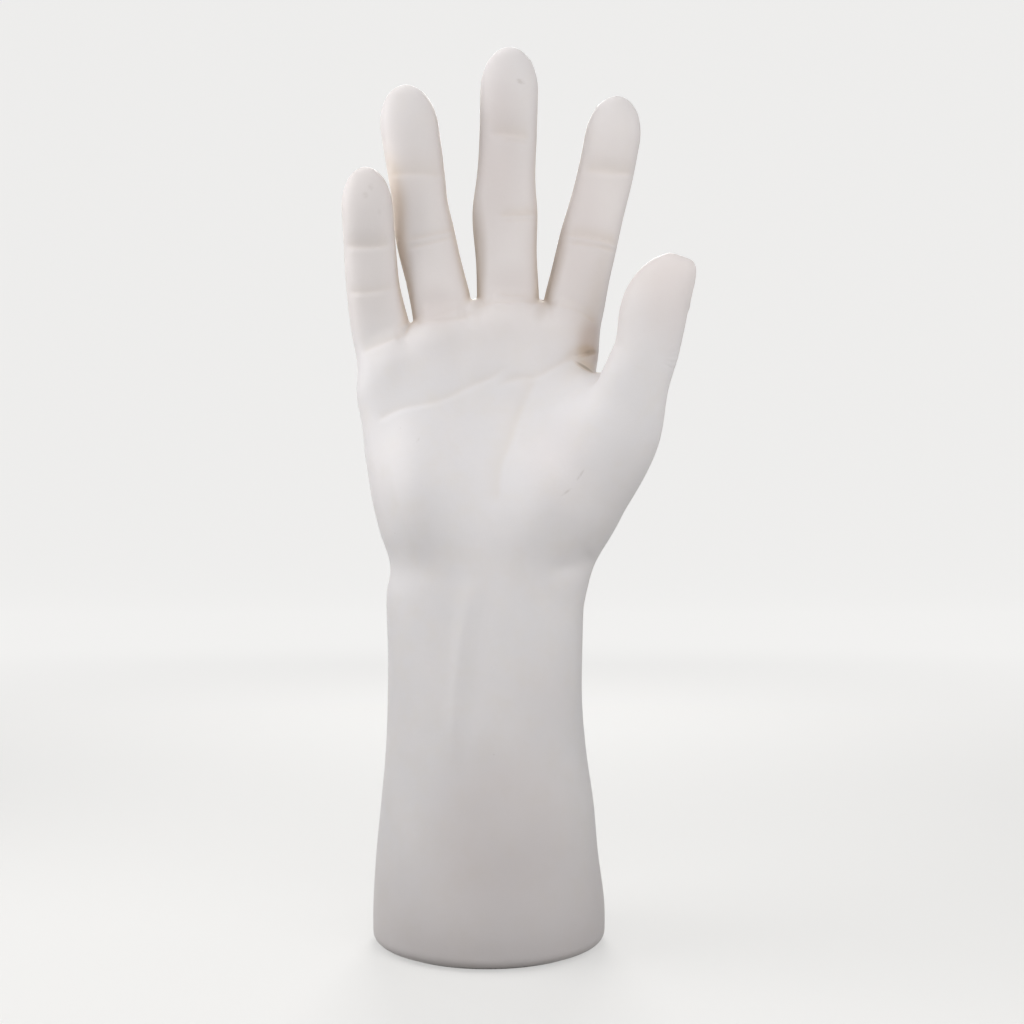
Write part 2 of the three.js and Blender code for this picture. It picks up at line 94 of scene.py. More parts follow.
def smooth_value(ats: list[float], values: list[float], at: Array) -> Array:
    """Reads a smooth curve through (at, value) pairs, level at its two ends.

    Args:
        ats: Places of the values, rising.
        values: The value at each place.
        at: Places to read.

    Returns:
        The value at each place read.
    """
    xs = np.array(ats, float)
    ys = np.array(values, float)
    slopes = np.zeros(len(xs))
    slopes[1:-1] = (ys[2:] - ys[:-2]) / (xs[2:] - xs[:-2])
    inside = np.clip(at, xs[0], xs[-1])
    i = np.clip(np.searchsorted(xs, inside, side="right") - 1, 0, len(xs) - 2)
    span = xs[i + 1] - xs[i]
    t = (inside - xs[i]) / span
    rest = 1 - t
    start = (1 + 2 * t) * rest * rest * ys[i] + t * rest * rest * span * slopes[i]
    end = t * t * (3 - 2 * t) * ys[i + 1] - t * t * rest * span * slopes[i + 1]
    return start + end


def smooth_step(value: Array, low: float, high: float) -> Array:
    """Rises smoothly from 0 at low to 1 at high."""
    t = np.clip((value - low) / (high - low), 0, 1)
    return t * t * (3 - 2 * t)


def curve_points(places: list, steps: int) -> Array:
    """Samples a centripetal Catmull-Rom curve through places.

    Args:
        places: The points that the curve passes through.
        steps: Samples for each stretch between two places.

    Returns:
        The sampled points, one row each.
    """
    given = np.array(places, float)
    padded = np.vstack([2 * given[0] - given[1], given, 2 * given[-1] - given[-2]])
    t = np.arange(steps)[:, None] / steps
    rows = []
    for p0, p1, p2, p3 in zip(padded, padded[1:], padded[2:], padded[3:]):
        d0, d1, d2 = (math.sqrt(np.linalg.norm(b - a)) for a, b in ((p0, p1), (p1, p2), (p2, p3)))
        leave = d1 * ((p1 - p0) / d0 - (p2 - p0) / (d0 + d1) + (p2 - p1) / d1)
        arrive = d1 * ((p2 - p1) / d1 - (p3 - p1) / (d1 + d2) + (p3 - p2) / d2)
        square = -3 * p1 + 3 * p2 - 2 * leave - arrive
        cube = 2 * p1 - 2 * p2 + leave + arrive
        rows.append(p1 + leave * t + square * t**2 + cube * t**3)
    return np.vstack([*rows, given[-1:]])


def arc_lengths(rows: Array) -> Array:
    """Distance along a line of points, at each of them."""
    return np.concatenate([[0], np.cumsum(np.linalg.norm(np.diff(rows, axis=0), axis=1))])


def lean(across: Array, up: Array, degrees: float) -> tuple[Array, Array]:
    """Reads places across and up in axes that lean to the right by some degrees."""
    turn = math.radians(degrees)
    return across * math.cos(turn) - up * math.sin(turn), across * math.sin(turn) + up * math.cos(turn)


def soft_union(a: Array, b: Array, reach: Array | float) -> Array:
    """Joins two distance fields with a fillet about as wide as reach."""
    near = np.maximum(reach - np.abs(a - b), 0) / reach
    return np.minimum(a, b) - near * near * reach / 4


# The form of the hand


@dataclass(frozen=True)
class TrunkSection:
    """Half-sizes of the forearm or palm at one height. A roundness of 2 is an ellipse."""

    at: float
    little: float
    thumb: float
    palm: float
    back: float
    roundness: float


@dataclass(frozen=True)
class Swell:
    """A soft swelling of the trunk, or a hollow where its height is below 0."""

    across: float
    up: float
    spread: Span
    tilt: float
    height: float

    def lift(self, x: Array, z: Array) -> Array:
        """How far it lifts the surface at each place across and up."""
        side, along = lean(x - self.across, z - self.up, self.tilt)
        return self.height * np.exp(-((side / self.spread[0]) ** 2 + (along / self.spread[1]) ** 2))


@dataclass(frozen=True)
class Trunk:
    """Forearm and palm, with the flat base under them."""

    bottom: float = PAD_THICKNESS
    bottom_edge: float = 3.5
    palm_top: float = 238.0
    palm_top_round: float = 24.0
    dome_power: float = 2.6
    dome_limit: float = 4.0
    least_slope: float = 1e-4
    arch_centre: float = 12.0
    arch_drop: float = 0.0052
    arch_from: float = 165.0
    arch_full: float = 212.0
    sections: tuple[TrunkSection, ...] = (
        TrunkSection(0, BASE_HALF_WIDTH, BASE_HALF_WIDTH, BASE_HALF_DEPTH, BASE_HALF_DEPTH, 2),
        TrunkSection(14, BASE_HALF_WIDTH, BASE_HALF_WIDTH, BASE_HALF_DEPTH, BASE_HALF_DEPTH, 2),
        TrunkSection(33, 41.5, 40.2, 37.2, 37.2, 2),
        TrunkSection(51, 39.8, 38.6, 34.6, 34.6, 2),
        TrunkSection(70, 38.1, 35.9, 31.6, 31.8, 2.05),
        TrunkSection(88, 37.4, 34.4, 29.2, 29.6, 2.1),
        TrunkSection(107, 37.3, 34.5, 27.0, 27.6, 2.15),
        TrunkSection(127, 37.8, 35.2, 24.6, 25.6, 2.2),
        TrunkSection(138.5, 36.4, 37.0, 23.2, 24.2, 2.25),
        TrunkSection(151, 40.2, 41.2, 22.0, 22.2, 2.35),
        TrunkSection(165, 43.4, 40.4, 19.8, 20.0, 2.5),
        TrunkSection(182, 45.3, 38.6, 17.2, 17.8, 2.6),
        TrunkSection(200, 45.9, 37.4, 15.4, 15.8, 2.6),
        TrunkSection(212, 46.5, 35.8, 14.6, 14.4, 2.5),
        TrunkSection(222, 47.8, 37.0, 13.8, 13.2, 2.5),
    )
    palm_swells: tuple[Swell, ...] = (
        Swell(25, 168, (17, 26), 24, 9.5),
        Swell(-25, 168, (14, 27), -4, 6.5),
        Swell(0, 196, (16, 24), -10, -2.5),
        Swell(29, 224, (9, 9), 0, 2.4),
        Swell(6, 228, (9, 8), 0, 2.4),
        Swell(-16, 224, (9, 8), 0, 2.2),
        Swell(-37, 214, (8, 9), 0, 2.0),
    )
    back_swells: tuple[Swell, ...] = (
        Swell(28, 219, (7, 10), 6, 2.2),
        Swell(6.5, 222, (7, 10), 0, 2.6),
        Swell(-15.5, 219, (6.5, 10), -6, 2.2),
        Swell(-35, 210, (6, 10), -10, 2.0),
        Swell(-25, 126, (9, 11), 0, 2.4),
    )

    def read(self, key: str, level: Array) -> Array:
        """One of the section sizes at each level."""
        return smooth_value([s.at for s in self.sections], [getattr(s, key) for s in self.sections], level)

    def distance(self, points: Array) -> Array:
        """Measures points against the trunk, whose top is a dome and whose bottom edge is rounded.

        Args:
            points: Points, one row each.

        Returns:
            Signed distance of each point from the trunk, below 0 inside.
        """
        x, y, z = points.T
        bend = self.arch_drop * (x - self.arch_centre) ** 2
        level = z + bend * smooth_step(z, self.arch_from, self.arch_full)
        level = z + bend * smooth_step(level, self.arch_from, self.arch_full)
        half_x = np.where(x >= 0, self.read("thumb", level), self.read("little", level))
        half_y = np.where(y >= 0, self.read("back", level), self.read("palm", level))
        power = self.read("roundness", level)
        a = np.abs(x) / half_x
        b = np.abs(y) / half_y
        ring = np.maximum(a**power + b**power, TINY) ** (1 / power)
        slope_x = (a / ring) ** (power - 1) / half_x
        slope_y = (b / ring) ** (power - 1) / half_y
        rise = (level - self.palm_top + self.palm_top_round) / self.palm_top_round
        rise = np.clip(rise, 0, self.dome_limit)
        dome = self.dome_power
        size = np.maximum(ring**dome + rise**dome, TINY) ** (1 / dome)
        share_ring = (ring / size) ** (dome - 1)
        share_rise = (rise / size) ** (dome - 1) / self.palm_top_round
        slope = np.sqrt((share_ring * slope_x) ** 2 + (share_ring * slope_y) ** 2 + share_rise**2)
        swells = sum(s.lift(x, z) for s in self.palm_swells)
        humps = sum(s.lift(x, z) for s in self.back_swells)
        lift = np.clip(b, 0, 1) * np.where(y < 0, swells, humps)
        side = (size - 1) / np.maximum(slope, self.least_slope) - lift
        under = self.bottom - z
        edge = self.bottom_edge
        out = np.hypot(np.maximum(side + edge, 0), np.maximum(under + edge, 0))
        return out + np.minimum(np.maximum(side + edge, under + edge), 0) - edge


@dataclass(frozen=True)
class LimbSection:
    """Half-sizes of a limb at a distance back from its tip."""

    back: float
    plus_x: float
    minus_x: float
    plus_y: float
    minus_y: float


class Limb:
    """A finger or the thumb: ovals strung on a curve, with a domed tip."""

    root_cap = 8.0
    samples = 40
    search_stride = 4
    palm_roundness = 2.0
    nail_bluntness = 2.0
    nail_side = (-0.5, 0.9)
    least_size = 1e-12
    least_slope = 0.03

    def __init__(self, name: str, places: list[Point], tip_length: float) -> None:
        """Lays the centre line.

        Args:
            name: The digit's name.
            places: Points of the centre line, from the wrist to the tip.
            tip_length: Length of the domed end.
        """
        self.name = name
        self.tip_length = tip_length
        self.centres = curve_points(places, self.samples)
        self.arcs = arc_lengths(self.centres)
        self.length = float(self.arcs[-1])
        self.joints = [self.length - float(a) for a in self.arcs[:: self.samples]]
        along = np.gradient(self.centres, axis=0)
        self.along = along / np.linalg.norm(along, axis=1, keepdims=True)
        right = np.array([1.0, 0, 0]) - self.along * self.along[:, :1]
        self.right = right / np.linalg.norm(right, axis=1, keepdims=True)
        self.behind = np.cross(self.along, self.right)
        self.sections: list[LimbSection] = []

    def read(self, rows: Array, arc: Array) -> Array:
        """Places or directions of the centre line at distances along it."""
        return np.stack([np.interp(arc, self.arcs, rows[:, k]) for k in range(3)], 1)

    def local(self, points: Array) -> tuple[Array, Array, Array]:
        """Places points against the centre line.

        Args:
            points: Points, one row each.

        Returns:
            Distance back from the tip, and the offsets to the right and behind.
        """
        nearest = np.zeros(len(points), int)
        best = np.full(len(points), np.inf)
        for i in range(0, len(self.centres), self.search_stride):
            gap = ((points - self.centres[i]) ** 2).sum(1)
            closer = gap < best
            nearest[closer] = i
            best[closer] = gap[closer]
        arc = self.arcs[nearest]
        for _ in range(2):
            at = np.clip(arc, 0, self.length)
            offset = points - self.read(self.centres, at)
            arc = at + (offset * self.read(self.along, at)).sum(1)
        at = np.clip(arc, 0, self.length)
        offset = points - self.read(self.centres, at)
        u = (offset * self.read(self.right, at)).sum(1)
        v = (offset * self.read(self.behind, at)).sum(1)
        return self.length - arc, u, v

    def half_sizes(self, back: Array, u: Array, v: Array) -> tuple[Array, Array]:
        """Reads the limb's oval beside each point.

        Args:
            back: Distance of each point back from the tip.
            u: Its offset to the right.
            v: Its offset behind.

        Returns:
            Half-width and half-depth on the side where each point lies.
        """
        ats = [-s.back for s in self.sections]
        read = {
            key: smooth_value(ats, [getattr(s, key) for s in self.sections], -back)
            for key in ("plus_x", "minus_x", "plus_y", "minus_y")
        }
        wide = np.where(u >= 0, read["plus_x"], read["minus_x"])
        deep = np.where(v >= 0, read["plus_y"], read["minus_y"])
        return wide, deep

    def measure(self, points: Array) -> tuple[Array, Array]:
        """Places points against the limb's surface.

        Args:
            points: Points, one row each.

        Returns:
            Signed distance from the limb, below 0 inside, and the offset to the right as a
            share of the half-width.
        """
        back, u, v = self.local(points)
        wide, deep = self.half_sizes(back, u, v)
        tip = np.maximum(self.tip_length - back, 0)
        root = np.maximum(back - self.length + self.root_cap, 0)
        end = np.where(tip > 0, tip / self.tip_length, root / self.root_cap)
        reach = np.where(tip > 0, self.tip_length, self.root_cap)
        squarer = np.where(v < 0, self.palm_roundness, 2.0)
        a, b = np.abs(u) / wide, np.abs(v) / deep
        ring = np.maximum(a**squarer + b**squarer, TINY) ** (1 / squarer)
        blunt = 2 + (self.nail_bluntness - 2) * smooth_step(u / wide, *self.nail_side)
        size = np.maximum(ring**blunt + end**blunt, self.least_size) ** (1 / blunt)
        share_ring = (ring / size) ** (blunt - 1)
        slope_u = share_ring * (a / ring) ** (squarer - 1) / wide
        slope_v = share_ring * (b / ring) ** (squarer - 1) / deep
        slope_end = (end / size) ** (blunt - 1) / reach
        slope = np.sqrt(slope_u**2 + slope_v**2 + slope_end**2)
        return (size - 1) / np.maximum(slope, self.least_slope), u / wide

    def distance(self, points: Array) -> Array:
        """Signed distance of each point from the limb, below 0 inside."""
        return self.measure(points)[0]

    def bounds(self, margin: float) -> tuple[Array, Array]:
        """Box that holds the limb with a margin."""
        widest = max(max(s.plus_x, s.minus_x, s.plus_y, s.minus_y) for s in self.sections)
        return self.centres.min(0) - widest - margin, self.centres.max(0) + widest + margin


# Half-depths of a finger before and behind its centre line, from the root to the pad
FINGER_PALM_DEPTHS = [7.0, 12.2, 11.4, 10.8, 10.2, 9.4, 8.6, 9.4]
FINGER_BACK_DEPTHS = [7.0, 13.2, 11.4, 10.0, 10.6, 9.0, 8.6, 7.4]
FINGER_TIP_LENGTH = 15.5
FINGER_PAD_BACK = 20.5
FINGER_PALM_ROUNDNESS = 2.35
THUMB_TIP_LENGTH = 22.0
THUMB_NAIL_BLUNTNESS = 6.0


def make_finger(name: str, places: list[Point], half_widths: list[float], girth: float) -> Limb:
    """Makes one finger.

    Args:
        name: The finger's name.
        places: Its root, knuckle, web, middle joint, end joint and tip.
        half_widths: At the root, knuckle, web, first shaft, middle joint, second shaft, end
            joint and pad.
        girth: Scales the thickness profile.

    Returns:
        The finger as a limb.
    """
    finger = Limb(name, places, FINGER_TIP_LENGTH)
    finger.palm_roundness = FINGER_PALM_ROUNDNESS
    root, knuckle, web, middle, end = finger.joints[:-1]
    backs = [root, knuckle, web, (web + middle) / 2, middle, (middle + end) / 2, end, FINGER_PAD_BACK]
    finger.sections = [
        LimbSection(back, wide, wide, girth * behind, girth * front)
        for back, wide, behind, front in zip(backs, half_widths, FINGER_BACK_DEPTHS, FINGER_PALM_DEPTHS)
    ]
    return finger


def make_thumb() -> Limb:
    """Makes the thumb, whose pad faces the fingers and whose nail faces out.

    Returns:
        The thumb as a limb.
    """
    places = [(22, -3, 138), (33, -8, 158), (48.2, -20, 186), (56.5, -32, 217.4), (65.8, -38, 246.2)]
    thumb = Limb("thumb", places, THUMB_TIP_LENGTH)
    thumb.nail_bluntness = THUMB_NAIL_BLUNTNESS
    thumb.sections = [
        LimbSection(118, 8.0, 8.0, 8.0, 8.0),
        LimbSection(94, 13.0, 14.0, 12.5, 13.5),
        LimbSection(68, 13.2, 15.0, 12.0, 13.0),
        LimbSection(47, 10.6, 14.0, 10.8, 11.0),
        LimbSection(34, 11.0, 11.8, 10.6, 10.6),
        LimbSection(24, 10.1, 13.4, 10.6, 10.6),
        LimbSection(16, 9.1, 14.0, 10.6, 10.6),
        LimbSection(8, 8.3, 14.0, 10.2, 10.2),
        LimbSection(0, 7.7, 14.0, 9.8, 9.8),
    ]
    return thumb


@dataclass(frozen=True)
class Web:
    """The sheet of flesh between the thumb and the index finger."""

    centre: Point = (38, -13, 190)
    half_sizes: Point = (13, 10, 19)
    tilt: float = 20.0
    least_slope: float = 1e-3

    def distance(self, points: Array) -> Array:
        """Measures points against the web, a leaning ellipsoid.

        Args:
            points: Points, one row each.

        Returns:
            Signed distance of each point from the web, below 0 inside.
        """
        half_sizes = np.array(self.half_sizes)
        x, y, z = (points - np.array(self.centre)).T
        side, along = lean(x, z, self.tilt)
        scaled = np.stack([side, y, along], 1) / half_sizes
        size = np.linalg.norm(scaled, axis=1)
        slope = np.linalg.norm(scaled / half_sizes, axis=1)
        return (size - 1) * size / np.maximum(slope, self.least_slope)


class HandForm:
    """The whole outer form of the moulding."""

    margin = 16.0
    finger_blend = 9.0
    tip_blend = 1.0
    thumb_blend = 14.0
    web_blend = 8.0
    web_joint = 2
    # Heights over which fillets die out: the thumb's from the ground, a finger's from its web
    thumb_leaves = (190, 216)
    finger_leaves = (-4, 12)
    side_leaves = (-9, -2)
    side_facing = (0.45, 0.9)

    def __init__(self) -> None:
        """Makes the trunk, the digits and the web."""
        self.trunk = Trunk()
        self.web = Web()
        self.fingers = [
            make_finger(
                "little",
                [
                    (-27, 2, 165), (-35.4, 2, 204), (-39.6, 0, 223.5),
                    (-42.4, -4, 240), (-43.3, -8.5, 255.2), (-44.2, -16.5, 281.7),
                ],
                [7.0, 10.6, 10.9, 10.4, 9.8, 9.6, 9.4, 9.3],
                0.86,
            ),
            make_finger(
                "ring",
                [
                    (-10, 2, 170), (-15.4, 2, 212), (-17.2, 0.5, 232),
                    (-23.8, 0, 261.2), (-26.6, -3.5, 281.8), (-30.9, -11, 312.7),
                ],
                [7.0, 11.2, 11.2, 10.9, 11.0, 10.2, 10.4, 10.6],
                0.95,
            ),
            make_finger(
                "middle",
                [
                    (5.5, 2, 172), (6.6, 2, 214), (7, 0.5, 235.8),
                    (5.9, -1, 268), (7.1, -5.5, 296.4), (7.8, -14, 325.5),
                ],
                [7.0, 11.6, 11.5, 11.3, 12.0, 10.7, 10.5, 10.5],
                1.0,
            ),
            make_finger(
                "index",
                [
                    (19, 2, 168), (27.0, 2, 211), (31.2, 0.5, 233.5),
                    (36.8, -1, 258.5), (42.9, -5, 282.6), (47.4, -12.5, 308.2),
                ],
                [7.0, 10.6, 11.3, 10.9, 10.8, 10.3, 10.2, 10.1],
                0.96,
            ),
        ]
        self.thumb = make_thumb()

    def near(self, limb: Limb, points: Array) -> Array:
        """Which points lie near a limb."""
        low, high = limb.bounds(self.margin)
        return np.all((points > low) & (points < high), axis=1)

    def distance(self, points: Array) -> Array:
        """Measures points against the whole form.

        The thumb flows into the palm and comes free of it higher up. A finger has a fillet at
        its root, but none towards its neighbours, so that the gaps between them stay narrow.

        Args:
            points: Points, one row each.

        Returns:
            Signed distance of each point from the form, below 0 inside.
        """
        total = self.trunk.distance(points)
        near = self.near(self.thumb, points)
        if near.any():
            close = points[near]
            joined = soft_union(total[near], self.web.distance(close), self.web_blend)
            fade = self.thumb_blend * (1 - smooth_step(close[:, 2], *self.thumb_leaves)) + self.tip_blend
            total[near] = soft_union(joined, self.thumb.distance(close), fade)
        for finger in self.fingers:
            near = self.near(finger, points)
            if not near.any():
                continue
            close = points[near]
            web = finger.centres[self.web_joint * finger.samples][2]
            gap, across = finger.measure(close)
            above = close[:, 2] - web
            facing = np.maximum(across * (finger.name != "index"), -across * (finger.name != "little"))
            beside = smooth_step(above, *self.side_leaves) * smooth_step(facing, *self.side_facing)
            fillet = self.finger_blend * (1 - smooth_step(above, *self.finger_leaves)) * (1 - beside)
            total[near] = soft_union(total[near], gap, fillet + self.tip_blend)
        return total

    def normal(self, points: Array, step: float = 0.15) -> Array:
        """Reads the field's slope from the four corners of a small tetrahedron.

        Args:
            points: Points, one row each.
            step: Half the side of the cube that holds the tetrahedron.

        Returns:
            Outward direction at each point.
        """
        corners = np.array([[1, -1, -1], [-1, -1, 1], [-1, 1, -1], [1, 1, 1]], float)
        total = sum(c * self.distance(points + c * step)[:, None] for c in corners)
        return total / np.maximum(np.linalg.norm(total, axis=1, keepdims=True), TINY)


# Meshing of a field


def surface_net(values: Array, axes: Axes) -> tuple[Array, Array]:
    """Draws the zero level of a field as a closed mesh of quads.

    Args:
        values: The field on a grid, below 0 inside.
        axes: The grid's places along X, Y and Z.

    Returns:
        The vertices and the quads.
    """
    inside = values < 0
    shape = tuple(n - 1 for n in values.shape)
    corners = [(i, j, k) for i in (0, 1) for j in (0, 1) for k in (0, 1)]
    nx, ny, nz = shape
    count = sum(inside[i : i + nx, j : j + ny, k : k + nz].astype(np.int8) for i, j, k in corners)
    cells = np.argwhere((count > 0) & (count < 8))
    index = np.full(shape, -1)
    index[tuple(cells.T)] = np.arange(len(cells))
    total = np.zeros((len(cells), 3))
    crossings = np.zeros(len(cells))
    for axis in range(3):
        step = np.eye(3, dtype=int)[axis]
        for corner in corners:
            if corner[axis]:
                continue
            a = cells + corner
            b = a + step
            fa, fb = values[tuple(a.T)], values[tuple(b.T)]
            cross = (fa < 0) != (fb < 0)
            share = np.where(cross, fa / np.where(cross, fa - fb, 1), 0)
            for k in range(3):
                pa, pb = axes[k][a[:, k]], axes[k][b[:, k]]
                total[:, k] += np.where(cross, pa + (pb - pa) * share, 0)
            crossings += cross
    points = total / crossings[:, None]
    quads = []
    for axis in range(3):
        side, up = (axis + 1) % 3, (axis + 2) % 3
        low = [slice(1, -1)] * 3
        high = [slice(1, -1)] * 3
        low[axis] = slice(0, -1)
        high[axis] = slice(1, None)
        starts, ends = inside[tuple(low)], inside[tuple(high)]
        for leaving in (True, False):
            edges = np.argwhere((starts & ~ends) if leaving else (~starts & ends))
            edges[:, [side, up]] += 1
            around = [(-1, -1), (0, -1), (0, 0), (-1, 0)]
            quad = np.empty((len(edges), 4), int)
            for n, (s, u) in enumerate(around):
                cell = edges.copy()
                cell[:, side] += s
                cell[:, up] += u
                quad[:, n] = index[tuple(cell.T)]
            quads.append(quad if leaving else quad[:, ::-1])
    return points, np.vstack(quads)


def relax(points: Array, quads: Array, rounds: int) -> Array:
    """Evens out a mesh by moving each vertex halfway to the mean of its neighbours.

    Args:
        points: The vertices.
        quads: The faces.
        rounds: How often they move.

    Returns:
        The moved vertices.
    """
    pairs = np.vstack([quads[:, [i, (i + 1) % 4]] for i in range(4)])
    degree = np.bincount(pairs.ravel(), minlength=len(points)).astype(float)[:, None]
    for _ in range(rounds):
        total = np.zeros_like(points)
        for k in range(3):
            total[:, k] = np.bincount(pairs[:, 0], points[pairs[:, 1], k], len(points))
            total[:, k] += np.bincount(pairs[:, 1], points[pairs[:, 0], k], len(points))
        points = (points + total / degree) / 2
    return points


# Detail pressed into the skin


class Surface:
    """Points on the skin, with what the details need to know of them."""

    sure_gap = (1.5, 4.0)

    def __init__(self, form: HandForm, points: Array) -> None:
        """Keeps the points and finds their normals.

        Args:
            form: The form that they lie on.
            points: Points, one row each.
        """
        self.form = form
        self.points = points
        self.normals = form.normal(points)
        self.locals: dict[str, tuple[Array, Array, Array, Array, Array]] = {}

    def local(self, limb: Limb) -> tuple[Array, Array, Array, Array, Array]:
        """Local places of the points of one digit.

        Args:
            limb: The digit.

        Returns:
            The chosen points' numbers, then their distance back from the tip, their offsets
            to the right and behind, and how surely each belongs to the digit.
        """
        if limb.name not in self.locals:
            chosen = np.flatnonzero(self.form.near(limb, self.points))
            back, u, v = limb.local(self.points[chosen])
            gap = np.abs(limb.distance(self.points[chosen]))
            self.locals[limb.name] = (chosen, back, u, v, 1 - smooth_step(gap, *self.sure_gap))
        return self.locals[limb.name]

    def spread(self, chosen: Array, values: Array) -> Array:
        """Gives the chosen points their values, and all others 0.

        Args:
            chosen: The chosen points' numbers, or a flag for each point.
            values: A value for each chosen point.

        Returns:
            A value for each point.
        """
        out = np.zeros(len(self.points))
        out[chosen] = values
        return out


@dataclass(frozen=True)
class Fold:
    """Section of a crease: the flesh rolls into it from above and leaves it steeply below."""

    depth: float
    above: float = 2.6
    below: float = 1.2
    roll_power: float = 1.25

    def press(self, gap: Array) -> Array:
        """Works out how far the skin is pushed in.

        Args:
            gap: Distance of each point above the crease, below 0 under it.

        Returns:
            The move outwards, below 0.
        """
        rolled = np.exp(-(np.maximum(gap, 0) / self.above) ** self.roll_power)
        steep = np.exp(-((np.minimum(gap, 0) / self.below) ** 2))
        return -self.depth * np.where(gap > 0, rolled, steep)


@dataclass(frozen=True)
class PalmCrease:
    """A crease of the palm along a line of points across and up."""

    line: tuple[Span, ...]
    fold: Fold
    fade: Span = (6.0, 6.0)
    samples: int = 8
    fold_reach: float = 3.0
    fade_from: float = -0.01
    facing: Span = (0.05, 0.45)

    def offset(self, surface: Surface) -> Array:
        """Works out how the crease moves the skin.

        Args:
            surface: The skin before its details.

        Returns:
            How far each point moves outwards.
        """
        rows = curve_points([(x, 0.0, z) for x, z in self.line], self.samples)[:, [0, 2]]
        arcs = arc_lengths(rows)
        rightwards = 1 if rows[-1, 0] > rows[0, 0] else -1
        flat = surface.points[:, [0, 2]]
        reach = self.fold.above * self.fold_reach
        near = np.all((flat > rows.min(0) - reach) & (flat < rows.max(0) + reach), axis=1)
        near &= -surface.normals[:, 1] > self.facing[0]
        if not near.any():
            return np.zeros(len(flat))
        close = flat[near]
        best = np.full(len(close), np.inf)
        gap = np.zeros(len(close))
        along = np.zeros(len(close))
        for i in range(len(rows) - 1):
            run = rows[i + 1] - rows[i]
            length = np.linalg.norm(run)
            offset = close - rows[i]
            t = np.clip(offset @ run / length**2, 0, 1)
            apart = np.linalg.norm(offset - t[:, None] * run, axis=1)
            closer = apart < best
            best[closer] = apart[closer]
            side = np.sign(run[0] * offset[:, 1] - run[1] * offset[:, 0]) * rightwards
            gap[closer] = (apart * side)[closer]
            along[closer] = (arcs[i] + t * length)[closer]
        start, end = self.fade
        strength = smooth_step(along, self.fade_from, start)
        strength = strength * smooth_step(arcs[-1] - along, self.fade_from, end)
        facing = smooth_step(-surface.normals[near, 1], *self.facing)
        return surface.spread(near, self.fold.press(gap) * strength * facing)


@dataclass(frozen=True)
class FingerCrease:
    """A crease across the palm side of a digit, at a distance back from its tip."""

    back: float
    fold: Fold
    slant: float = 0.0
    bow: float = 0.6
    reach: Span = (-0.8, 0.8)
    sideways: bool = False
    outer_fade: float = 0.25
    inner_fade: float = 0.2
    facing: Span = (0.0, 0.5)

    def offset(self, surface: Surface, limb: Limb) -> Array:
        """Works out how the crease moves the skin.

        Args:
            surface: The skin before its details.
            limb: The digit that the crease crosses.

        Returns:
            How far each point moves outwards.
        """
        chosen, back, u, v, sure = surface.local(limb)
        wide, deep = limb.half_sizes(back, u, v)
        across = (v / deep) if self.sideways else (u / wide)
        front = (-u / wide) if self.sideways else (-v / deep)
        gap = self.back + self.slant * across - self.bow * across**2 - back
        low, high = self.reach
        sides = smooth_step(across, low - self.outer_fade, low + self.inner_fade)
        sides *= 1 - smooth_step(across, high - self.inner_fade, high + self.outer_fade)
        pressed = self.fold.press(gap) * smooth_step(front, *self.facing) * sides * sure
        return surface.spread(chosen, pressed)


@dataclass(frozen=True)
class KnuckleLines:
    """Fine folds across the back of a digit's joint, bowed away from its middle."""

    back: float
    count: int
    spacing: float
    depth: float
    width: float = 0.55
    sideways: bool = False
    middle_spread: float = 1.25
    side_gather: float = 0.9
    facing: Span = (0.2, 0.75)

    def offset(self, surface: Surface, limb: Limb) -> Array:
        """Works out how the folds move the skin.

        Args:
            surface: The skin before its details.
            limb: The digit that the folds cross.

        Returns:
            How far each point moves outwards.
        """
        chosen, back, u, v, sure = surface.local(limb)
        wide, deep = limb.half_sizes(back, u, v)
        across = (v / deep) if self.sideways else (u / wide)
        behind = (u / wide) if self.sideways else (v / deep)
        total = np.zeros(len(chosen))
        for i in range(self.count):
            level = (i - (self.count - 1) / 2) * self.spacing
            spread = level * (self.middle_spread - self.side_gather * across**2)
            total -= self.depth * np.exp(-(((back - self.back - spread) / self.width) ** 2))
        return surface.spread(chosen, total * smooth_step(behind, *self.facing) * sure)


